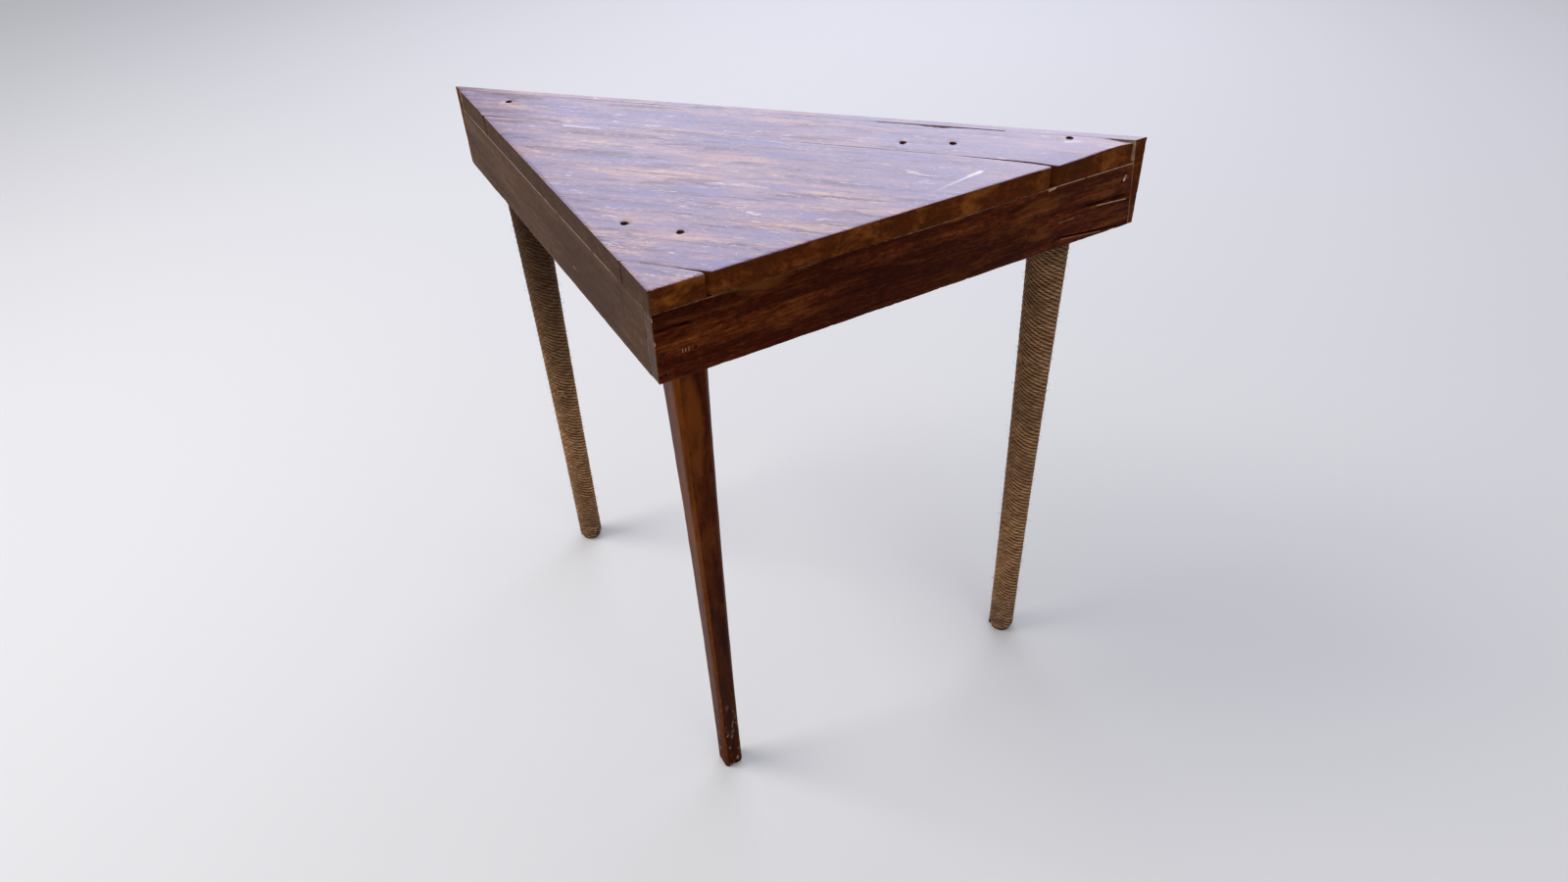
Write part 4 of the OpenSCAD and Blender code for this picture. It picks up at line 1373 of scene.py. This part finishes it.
def winding_line(m, twine, rng):
    """Points of one leg's winding, upright, from the foot to the aprons, and the turn of its plies at each.
    Each turn holds a whole number of half twists and a part of one, so that the plies of neighbouring
    turns line up in slanting rows."""
    half = twine.diameter / 2
    low, high = m["low"] + half, m["high"] - half
    turns = (high - low) / twine.pitch
    steps = int(turns * twine.steps)
    slack = [rng.uniform(-1, 1) for _ in range(int(turns) + 3)]
    drift = [rng.uniform(-1, 1) for _ in range(int(turns) + 3)]
    points, phases, twisted = [], [], 0.0
    for i in range(steps + 1):
        t = i / twine.steps
        k = int(t)
        round_turn = FULL_TURN * (core_radius(m, low + twine.pitch * k) + half)
        halves = round(2 * round_turn / twine.twist_length - twine.row_step) + twine.row_step
        twisted += math.pi * halves / twine.steps
        ease = (t - k) ** 2 * (3 - 2 * (t - k))
        wob = slack[k] * (1 - ease) + slack[k + 1] * ease
        sway = drift[k] * (1 - ease) + drift[k + 1] * ease
        z = low + twine.pitch * t + wob * twine.pitch * 0.10
        z = min(max(z, low), high)
        r = core_radius(m, z) + CORE_GAP + half * 0.95 + sway * 0.12 * MM
        angle = twine.hand * FULL_TURN * t + 0.7
        points.append((r * math.cos(angle), r * math.sin(angle), z))
        phases.append(twine.hand * (twisted + 0.30 * drift[k] * (1 - ease) + 0.30 * drift[k + 1] * ease))
    return points, phases


def build_winding(context, twine, side):
    """One leg's winding in two halves, and the loose fibres over it."""
    m = core_measures(side)
    rng = random.Random(twine.seed + len(side))
    points, phases = winding_line(m, twine, rng)
    middle = len(points) // 2
    for part, run in (("lower", slice(0, middle + 1)), ("upper", slice(middle, None))):
        name = f"{side}_winding_{part}"
        piece = grown(name, line_mesh(name, points[run], phases[run]), "ply_twine", {
            "Thickness": twine.diameter, "Profile Points": 8, "Upright": True,
            "Material": look_of(context, f"{side}_jute")}, m["turn"])
        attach(piece, ROOT)
        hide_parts(f"{side}_twine_wrap")
    rings, around = 60, 24
    angles = np.linspace(0, FULL_TURN, around, endpoint=False)
    verts, faces = [], []
    for i in range(rings + 1):
        z = m["low"] + (m["high"] - m["low"]) * i / rings
        r = core_radius(m, z) + CORE_GAP + twine.diameter * 0.86
        verts += [(r * math.cos(a), r * math.sin(a), z) for a in angles]
    for a in range(0, rings * around, around):
        faces += ring_faces(range(a, a + around), range(a + around, a + 2 * around))
    carrier = bpy.data.meshes.new("carrier")
    carrier.from_pydata(verts, [], faces)
    fuzz = grown(f"{side}_winding_fuzz", carrier, "jute_fibres", {
        "Density": twine.fibre_density, "Fibre Length": twine.fibre_length, "Seed": twine.seed + len(side),
        "Material": look_of(context, "fuzz")}, m["turn"])
    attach(fuzz, ROOT)


def build_knot(context, twine):
    """A flattened overhand knot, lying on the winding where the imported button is, with two frayed ends."""
    m = core_measures("left")
    low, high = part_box("twine_knot")
    centre = (low + high) / 2
    local = m["turn"].inverted() @ centre
    out = Vector((local.x, local.y, 0)).normalized()
    side = UP.cross(out)
    base = out * (core_radius(m, local.z) + CORE_GAP + twine.diameter * 0.95) + UP * local.z
    loop = []
    for i in range(120):
        t = FULL_TURN * i / 120
        x = math.sin(t) + 2 * math.sin(2 * t)
        y = math.cos(t) - 2 * math.cos(2 * t)
        z = -math.sin(3 * t)
        loop.append(base + side * x * 1.75 * MM + UP * y * 1.75 * MM + out * (z * 1.1 + 1.7) * MM)
    ends = []
    for start, way in ((loop[0], (side * 0.7 - UP * 0.8)), (loop[60], (side * -0.8 - UP * 0.6))):
        ends.append([start + way * k * 1.9 * MM + out * (0.3 - 0.16 * k) * MM for k in range(7)])
    pieces = []
    for k, line in enumerate([loop + loop[:1]] + ends):
        lengths = np.cumsum([0.0] + [(q - p).length for p, q in zip(line, line[1:])])
        phases = lengths * FULL_TURN / twine.twist_length
        pieces.append(grown(f"knot_part_{k}", line_mesh("knot_line", line, phases), "ply_twine", {
            "Thickness": twine.diameter * 0.9, "Profile Points": 10, "Upright": False,
            "Material": look_of(context, "left_jute")}, m["turn"]))
    knot = joined("left_winding_knot", pieces)
    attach(knot, ROOT)
    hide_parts("twine_knot")


def joined(name, pieces):
    """One piece made of several."""
    bpy.ops.object.select_all(action="DESELECT")
    for p in pieces:
        p.select_set(True)
    bpy.context.view_layer.objects.active = pieces[0]
    bpy.ops.object.join()
    pieces[0].name = pieces[0].data.name = name
    return pieces[0]


# ---------------------------------------------------------------- pieces: fixings

def lathe(profile, sides):
    """Vertices and faces of a closed turned shape, whose profile runs from its top to its lower end."""
    verts, faces = [], []
    inner = profile[1:-1]
    angles = [FULL_TURN * i / sides for i in range(sides)]
    for r, z in inner:
        verts += [(r * math.cos(a), r * math.sin(a), z) for a in angles]
    for k in range(len(inner) - 1):
        a, b = k * sides, (k + 1) * sides
        faces += [(a + i, b + i, b + (i + 1) % sides, a + (i + 1) % sides) for i in range(sides)]
    verts += [(0, 0, profile[0][1]), (0, 0, profile[-1][1])]
    top, low = len(verts) - 2, len(verts) - 1
    last = (len(inner) - 1) * sides
    faces += [(top, i, (i + 1) % sides) for i in range(sides)]
    faces += [(low, last + (i + 1) % sides, last + i) for i in range(sides)]
    return verts, faces


def bearing(v):
    """A mesh vertex's angle round the Z axis."""
    return math.atan2(v.co.y, v.co.x)


def screw_blank():
    """A countersunk wood screw with a cross recess and a rolled thread, its head's face at the origin."""
    profile = [(0, 0), (1.2, 0.05), (3.6, 0), (3.95, -0.25), (3.8, -0.6), (2.1, -3.8), (2.0, -9)]
    z = -10.0
    while z > -34:
        profile += [(2.0, z + 0.6), (1.45, z), (1.45, z - 0.5)]
        z -= 1.8
    profile += [(1.3, -34.5), (0.5, -37), (0.12, -37.9), (0, -38)]
    verts, faces = lathe([(r * MM, z * MM) for r, z in profile], 16)
    blank = solid_piece("screw_blank", verts, faces, sharp=40)
    bm = bmesh.new()
    bm.from_mesh(blank.data)
    cap = [f for f in bm.faces if all(v.co.z > -0.02 * MM for v in f.verts)]
    bmesh.ops.dissolve_faces(bm, faces=cap)
    face = max((f for f in bm.faces if f.normal.z > 0.9), key=lambda f: f.calc_area())
    rim = sorted(face.verts, key=bearing)
    bmesh.ops.delete(bm, geom=[face], context="FACES_ONLY")
    cross = []
    for k in range(4):
        for u, v in ((0.42, 0.42), (2.1, 0.42), (2.1, -0.42)):
            a = math.pi / 2 * k
            cross.append((u * math.cos(a) - v * math.sin(a), u * math.sin(a) + v * math.cos(a)))
    cross.sort(key=lambda p: math.atan2(p[1], p[0]))
    upper = [bm.verts.new((x * MM, y * MM, 0)) for x, y in cross]
    lower = [bm.verts.new((x * 0.45 * MM, y * 0.45 * MM, -1.7 * MM)) for x, y in cross]
    floor = bm.verts.new((0, 0, -1.9 * MM))
    n, m = len(upper), len(rim)
    for i in range(n):
        j = (i + 1) % n
        bm.faces.new((upper[i], upper[j], lower[j], lower[i]))
        bm.faces.new((lower[i], lower[j], floor))
    i = j = 0
    while i < m or j < n:
        a, b = rim[i % m], upper[j % n]
        next_a = bearing(rim[(i + 1) % m]) + (FULL_TURN if i + 1 >= m else 0)
        next_b = bearing(upper[(j + 1) % n]) + (FULL_TURN if j + 1 >= n else 0)
        if j >= n or (i < m and next_a <= next_b):
            bm.faces.new((a, rim[(i + 1) % m], b))
            i += 1
        else:
            bm.faces.new((a, upper[(j + 1) % n], b))
            j += 1
    bmesh.ops.recalc_face_normals(bm, faces=bm.faces)
    bm.to_mesh(blank.data)
    bm.free()
    blank.data.set_sharp_from_angle(angle=math.radians(35))
    return blank


def nail_blank(length):
    """A wire nail with a worn domed head, ringed under the head."""
    profile = [(0, -0.05), (1.1, -0.08), (2.1, -0.2), (2.45, -0.45), (2.4, -1.1), (1.3, -1.3)]
    profile += [(1.2, -2.0), (1.05, -2.3), (1.2, -2.6), (1.05, -2.9), (1.2, -3.2)]
    profile += [(1.2, -(length - 4)), (0.15, -length + 0.1), (0, -length)]
    verts, faces = lathe([(r * MM, z * MM) for r, z in profile], 12)
    return solid_piece("nail_blank", verts, faces, sharp=40)


def build_fixings(context, rng):
    """Sets a blank at every screw and nail of each node; rows are node, nail length or None, and finish."""
    rows = (("batten_screws", None, "screw"), ("leg_screws", None, "screw"),
            ("corner_nails", 45, "stained_nail"), ("front_leg_nails", 45, "stained_nail"),
            ("back_edge_nails", 45, "nail"), ("back_end_nails", 25, "nail"), ("rear_leg_nails", 45, "nail"))
    for node, length, finish in rows:
        blank = nail_blank(length) if length else screw_blank()
        found = fixings(node)
        places = bpy.data.meshes.new(node + "_places")
        places.from_pydata([tuple(head - axis * 0.15 * MM) for head, axis in found], [], [])
        axes = places.attributes.new("axis", "FLOAT_VECTOR", "POINT")
        axes.data.foreach_set("vector", [c for _, axis in found for c in axis])
        spins = places.attributes.new("spin", "FLOAT", "POINT")
        spins.data.foreach_set("value", [rng.uniform(0, 6.28) for _ in found])
        name = "set_" + node
        piece = grown(name, places, "set_fixings", {"Blank": blank, "Material": look_of(context, finish)})
        bpy.data.objects.remove(blank)
        piece.data.set_sharp_from_angle(angle=math.radians(38))
        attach(piece, ROOT)
        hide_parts(node)


# ---------------------------------------------------------------- stage

def build_stage(stage):
    """A plain floor, three soft lights, the surround and the camera."""
    scene = bpy.context.scene
    floor_mesh = bpy.data.meshes.new("floor")
    r = stage.floor_size / 2
    floor_mesh.from_pydata([(-r, -r, 0), (r, -r, 0), (r, r, 0), (-r, r, 0)], [], [(0, 1, 2, 3)])
    floor = new_object("stage_floor", floor_mesh)
    look, g, shader = new_material("plain_floor")
    g.feed(shader, {"Base Color": stage.floor_colour, "Roughness": 0.9, "Specular IOR Level": 0.1})
    floor_mesh.materials.append(look)
    for name, place, size, power, colour in (
            ("stage_key", (-2.2, -0.6, 2.9), 1.6, stage.key_power, (1.0, 0.97, 0.93)),
            ("stage_fill", (2.6, -2.4, 2.2), 2.2, stage.fill_power, (0.98, 0.98, 1.0)),
            ("stage_sky", (-0.4, 3.2, 2.6), 3.4, stage.sky_power, (0.80, 0.82, 1.0))):
        data = bpy.data.lights.new(name, "AREA")
        data.shape = "SQUARE"
        data.size = size
        data.energy = power
        data.color = colour
        lamp = new_object(name, data)
        lamp.location = place
        lamp.rotation_euler = (Vector((0, 0, 0.6)) - Vector(place)).to_track_quat("-Z", "Y").to_euler()
        lamp.visible_camera = False
    world = bpy.data.worlds.new("stage_world")
    world.use_nodes = True
    background = next(n for n in world.node_tree.nodes if n.type == "BACKGROUND")
    Graph(world.node_tree).feed(background, {"Color": stage.world_colour, "Strength": stage.world_strength})
    scene.world = world
    camera = bpy.data.cameras.new("stage_camera")
    camera.lens = stage.lens
    camera.sensor_width = 36
    eye = new_object("stage_camera", camera)
    yaw, pitch, roll = stage.heading, stage.pitch, stage.roll
    ahead = Vector((math.sin(yaw), math.cos(yaw), 0))
    right = Vector((math.cos(yaw), -math.sin(yaw), 0))
    forward = ahead * math.cos(pitch) - UP * math.sin(pitch)
    down = forward.cross(right)
    x = right * math.cos(roll) + down * math.sin(roll)
    y = -(down * math.cos(roll) - right * math.sin(roll))
    turn = Matrix((x, y, -forward)).transposed().to_4x4()
    eye.matrix_world = Matrix.Translation(stage.eye) @ turn
    scene.camera = eye
    scene.view_settings.view_transform = "Standard"


# ---------------------------------------------------------------- add-on: settings

def colour_property(name, description, default):
    return bpy.props.FloatVectorProperty(name=name, description=description, default=default, subtype="COLOR",
                                         size=3, min=0.0, max=1.0)


def number_property(name, description, default, **limits):
    return bpy.props.FloatProperty(name=name, description=description, default=default, **limits)


def length_property(name, description, default, low=0.0):
    return number_property(name, description, default, min=low, unit="LENGTH", subtype="DISTANCE",
                           precision=5)


def count_property(name, description, default, **limits):
    return bpy.props.IntProperty(name=name, description=description, default=default, **limits)


class CORNERTABLE_PG_finish(bpy.types.PropertyGroup):
    """Colours of the finishes"""
    top_deep: colour_property("Top, deep streaks", "Darkest streaks of the top", (0.115, 0.062, 0.105))
    # The top's blue, lilac and bloom colours are partly varnish bloom and partly painted sky reflection
    top_blue: colour_property("Top, blue bloom", "Bluest bloom in the old varnish", (0.165, 0.145, 0.32))
    top_lilac: colour_property("Top, lilac bloom", "Lilac bloom in the old varnish", (0.215, 0.165, 0.30))
    top_haze_and_sky_reflection: colour_property("Top, bloom", "Middle colour of the top", (0.275, 0.190, 0.275))
    top_pink: colour_property("Top, thin stain", "Colour where the top's stain is thin", (0.40, 0.245, 0.275))
    top_bare: colour_property("Top, bare", "Colour of nearly bare wood in the top", (0.56, 0.35, 0.28))
    apron_deep: colour_property("Apron, deep", "Darkest stain of the aprons", (0.012, 0.0020, 0.0007))
    apron_stain: colour_property("Apron, stain", "Main stain of the aprons", (0.052, 0.0070, 0.0016))
    apron_warm: colour_property("Apron, warm", "Lighter streaks of the aprons", (0.120, 0.0260, 0.0050))
    apron_amber: colour_property("Apron, amber", "Amber patches of the aprons", (0.230, 0.072, 0.0120))
    # The left apron's colour is partly stain and partly painted light from the left
    left_stain_and_sky_light: colour_property("Left apron, stain", "Main colour of the duller left apron",
                                (0.088, 0.045, 0.025))
    leg_stain: colour_property("Leg, stain", "Main stain of the front leg", (0.046, 0.0072, 0.0014))
    jute: colour_property("Jute", "Main colour of the twine", (0.42, 0.215, 0.092))


class CORNERTABLE_PG_wood(bpy.types.PropertyGroup):
    """Settings of the boards"""
    arris_radius: length_property("Arris radius", "Rounding of the boards' worn arrises", 0.0012, 0.0003)
    wear: number_property("Wear", "How chipped and uneven the arrises are", 1.0, min=0.0, max=1.5)
    apron_thickness: length_property("Apron thickness", "Thickness of the side aprons", 0.017, 0.01)
    seed: count_property("Seed", "Picks another set of dents and chips", 4)


class CORNERTABLE_PG_twine(bpy.types.PropertyGroup):
    """Settings of the twine"""
    diameter: length_property("Twine diameter", "Thickness of the jute twine", 0.0036, 0.001)
    pitch: length_property("Pitch", "Distance between neighbouring turns", 0.0034, 0.001)
    twist_length: length_property("Twist length", "Length of twine in which its plies turn once", 0.0174,
                                  0.003)
    row_step: number_property("Row step", "Shift of the plies from turn to turn, in half twists", 0.6,
                              min=0.0, max=1.0)
    steps: count_property("Steps", "Points in one turn of the winding", 84, min=24)
    hand: count_property("Hand", "Way that the winding climbs", 1, min=-1, max=1)
    fibre_density: number_property("Fibre density", "Loose fibres for each square metre", 13000.0, min=0.0)
    fibre_length: length_property("Fibre length", "Length of the loose fibres", 0.0055, 0.001)
    seed: count_property("Seed", "Picks another set of loose turns and fibres", 7)


class CORNERTABLE_PG_stage(bpy.types.PropertyGroup):
    """Settings of the stage"""
    floor_size: length_property("Floor size", "Side of the plain floor", 30.0, 4.0)
    floor_colour: colour_property("Floor colour", "Colour of the plain floor", (0.74, 0.74, 0.73))
    world_colour: colour_property("Surround colour", "Colour of the surround", (0.90, 0.91, 1.0))
    world_strength: number_property("Surround strength", "Light from the surround", 0.55, min=0.0)
    key_power: number_property("Key light", "Power of the key light", 60.0, min=0.0, unit="POWER")
    fill_power: number_property("Fill light", "Power of the fill light", 18.0, min=0.0, unit="POWER")
    sky_power: number_property("Sky light", "Power of the high light behind", 60.0, min=0.0, unit="POWER")
    lens: number_property("Lens", "Focal length in millimetres", 24.943, min=5.0)
    eye: bpy.props.FloatVectorProperty(name="Eye", description="Place of the camera",
                                       default=(0.3641, -1.0020, 1.2675), size=3, subtype="XYZ",
                                       unit="LENGTH")
    heading: number_property("Heading", "Turn of the camera from the back's normal", -0.2965, unit="ROTATION")
    pitch: number_property("Pitch", "How far the camera looks down", 0.67608, unit="ROTATION")
    roll: number_property("Roll", "Lean of the camera", 0.04446, unit="ROTATION")


class CORNERTABLE_PG_table(bpy.types.PropertyGroup):
    """All the settings"""
    finish: bpy.props.PointerProperty(type=CORNERTABLE_PG_finish)
    wood: bpy.props.PointerProperty(type=CORNERTABLE_PG_wood)
    twine: bpy.props.PointerProperty(type=CORNERTABLE_PG_twine)
    stage: bpy.props.PointerProperty(type=CORNERTABLE_PG_stage)


# ---------------------------------------------------------------- add-on: operators

class CORNERTABLE_OT_top(bpy.types.Operator):
    """Builds the three boards of the top"""
    bl_idname = "cornertable.top"
    bl_label = "Top boards"
    bl_options = {"REGISTER", "UNDO"}

    def execute(self, context):
        build_top(context, context.scene.corner_table.wood)
        return {"FINISHED"}


class CORNERTABLE_OT_aprons(bpy.types.Operator):
    """Builds the back apron and the two side aprons"""
    bl_idname = "cornertable.aprons"
    bl_label = "Aprons"
    bl_options = {"REGISTER", "UNDO"}

    def execute(self, context):
        wood = context.scene.corner_table.wood
        for hand in (1, -1):
            build_side_apron(context, wood, hand)
        build_back_apron(context, wood)
        return {"FINISHED"}


class CORNERTABLE_OT_front_leg(bpy.types.Operator):
    """Builds the square tapered front leg"""
    bl_idname = "cornertable.front_leg"
    bl_label = "Front leg"
    bl_options = {"REGISTER", "UNDO"}

    def execute(self, context):
        build_front_leg(context)
        return {"FINISHED"}


class CORNERTABLE_OT_underside(bpy.types.Operator):
    """Builds the batten and the glue blocks under the top, and finishes the turned cores"""
    bl_idname = "cornertable.underside"
    bl_label = "Underside"
    bl_options = {"REGISTER", "UNDO"}

    def execute(self, context):
        build_batten(context)
        for side in ("left", "right"):
            blocks = softened(f"{side}_rubbed_blocks", f"{side}_glue_blocks", 0.7 * MM)
            finish_piece(blocks, look_of(context, "blocks"), "raw_wood", f"{side}_glue_blocks")
            dress(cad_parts[f"{side}_leg_core"], look_of(context, "core"))
        return {"FINISHED"}


class CORNERTABLE_OT_windings(bpy.types.Operator):
    """Winds the two rear legs with twine"""
    bl_idname = "cornertable.windings"
    bl_label = "Windings"
    bl_options = {"REGISTER", "UNDO"}

    def execute(self, context):
        for side in ("left", "right"):
            build_winding(context, context.scene.corner_table.twine, side)
        return {"FINISHED"}


class CORNERTABLE_OT_knot(bpy.types.Operator):
    """Ties the knot in the left winding"""
    bl_idname = "cornertable.knot"
    bl_label = "Knot"
    bl_options = {"REGISTER", "UNDO"}

    def execute(self, context):
        build_knot(context, context.scene.corner_table.twine)
        return {"FINISHED"}


class CORNERTABLE_OT_fixings(bpy.types.Operator):
    """Sets the screws and nails, and finishes the tacks"""
    bl_idname = "cornertable.fixings"
    bl_label = "Screws and nails"
    bl_options = {"REGISTER", "UNDO"}

    def execute(self, context):
        build_fixings(context, random.Random(11))
        dress(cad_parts["twine_tacks"], look_of(context, "nail"))
        return {"FINISHED"}


class CORNERTABLE_OT_stage(bpy.types.Operator):
    """Builds the floor, the lights and the camera"""
    bl_idname = "cornertable.stage"
    bl_label = "Stage"
    bl_options = {"REGISTER", "UNDO"}

    def execute(self, context):
        build_stage(context.scene.corner_table.stage)
        return {"FINISHED"}


OPERATORS = (CORNERTABLE_OT_top, CORNERTABLE_OT_aprons, CORNERTABLE_OT_front_leg, CORNERTABLE_OT_underside,
             CORNERTABLE_OT_windings, CORNERTABLE_OT_knot, CORNERTABLE_OT_fixings, CORNERTABLE_OT_stage)


class CORNERTABLE_PT_panel(bpy.types.Panel):
    """Buttons for every piece, and their settings"""
    bl_idname = "CORNERTABLE_PT_panel"
    bl_label = "Corner table"
    bl_space_type = "VIEW_3D"
    bl_region_type = "UI"
    bl_category = "Corner table"

    def draw(self, context):
        table = context.scene.corner_table
        for kind in OPERATORS:
            self.layout.operator(kind.bl_idname)
        for group in (table.finish, table.wood, table.twine, table.stage):
            box = self.layout.box()
            for key in group.__annotations__:
                box.prop(group, key)


CLASSES = (CORNERTABLE_PG_finish, CORNERTABLE_PG_wood, CORNERTABLE_PG_twine, CORNERTABLE_PG_stage,
           CORNERTABLE_PG_table) + OPERATORS + (CORNERTABLE_PT_panel,)


def register():
    for kind in CLASSES:
        bpy.utils.register_class(kind)
    bpy.types.Scene.corner_table = bpy.props.PointerProperty(type=CORNERTABLE_PG_table)


def unregister():
    del bpy.types.Scene.corner_table
    for kind in reversed(CLASSES):
        bpy.utils.unregister_class(kind)


def main():
    register()
    bpy.ops.cornertable.top()
    bpy.ops.cornertable.aprons()
    bpy.ops.cornertable.front_leg()
    bpy.ops.cornertable.underside()
    bpy.ops.cornertable.windings()
    bpy.ops.cornertable.knot()
    bpy.ops.cornertable.fixings()
    bpy.ops.cornertable.stage()


if __name__ == "__main__":
    main()
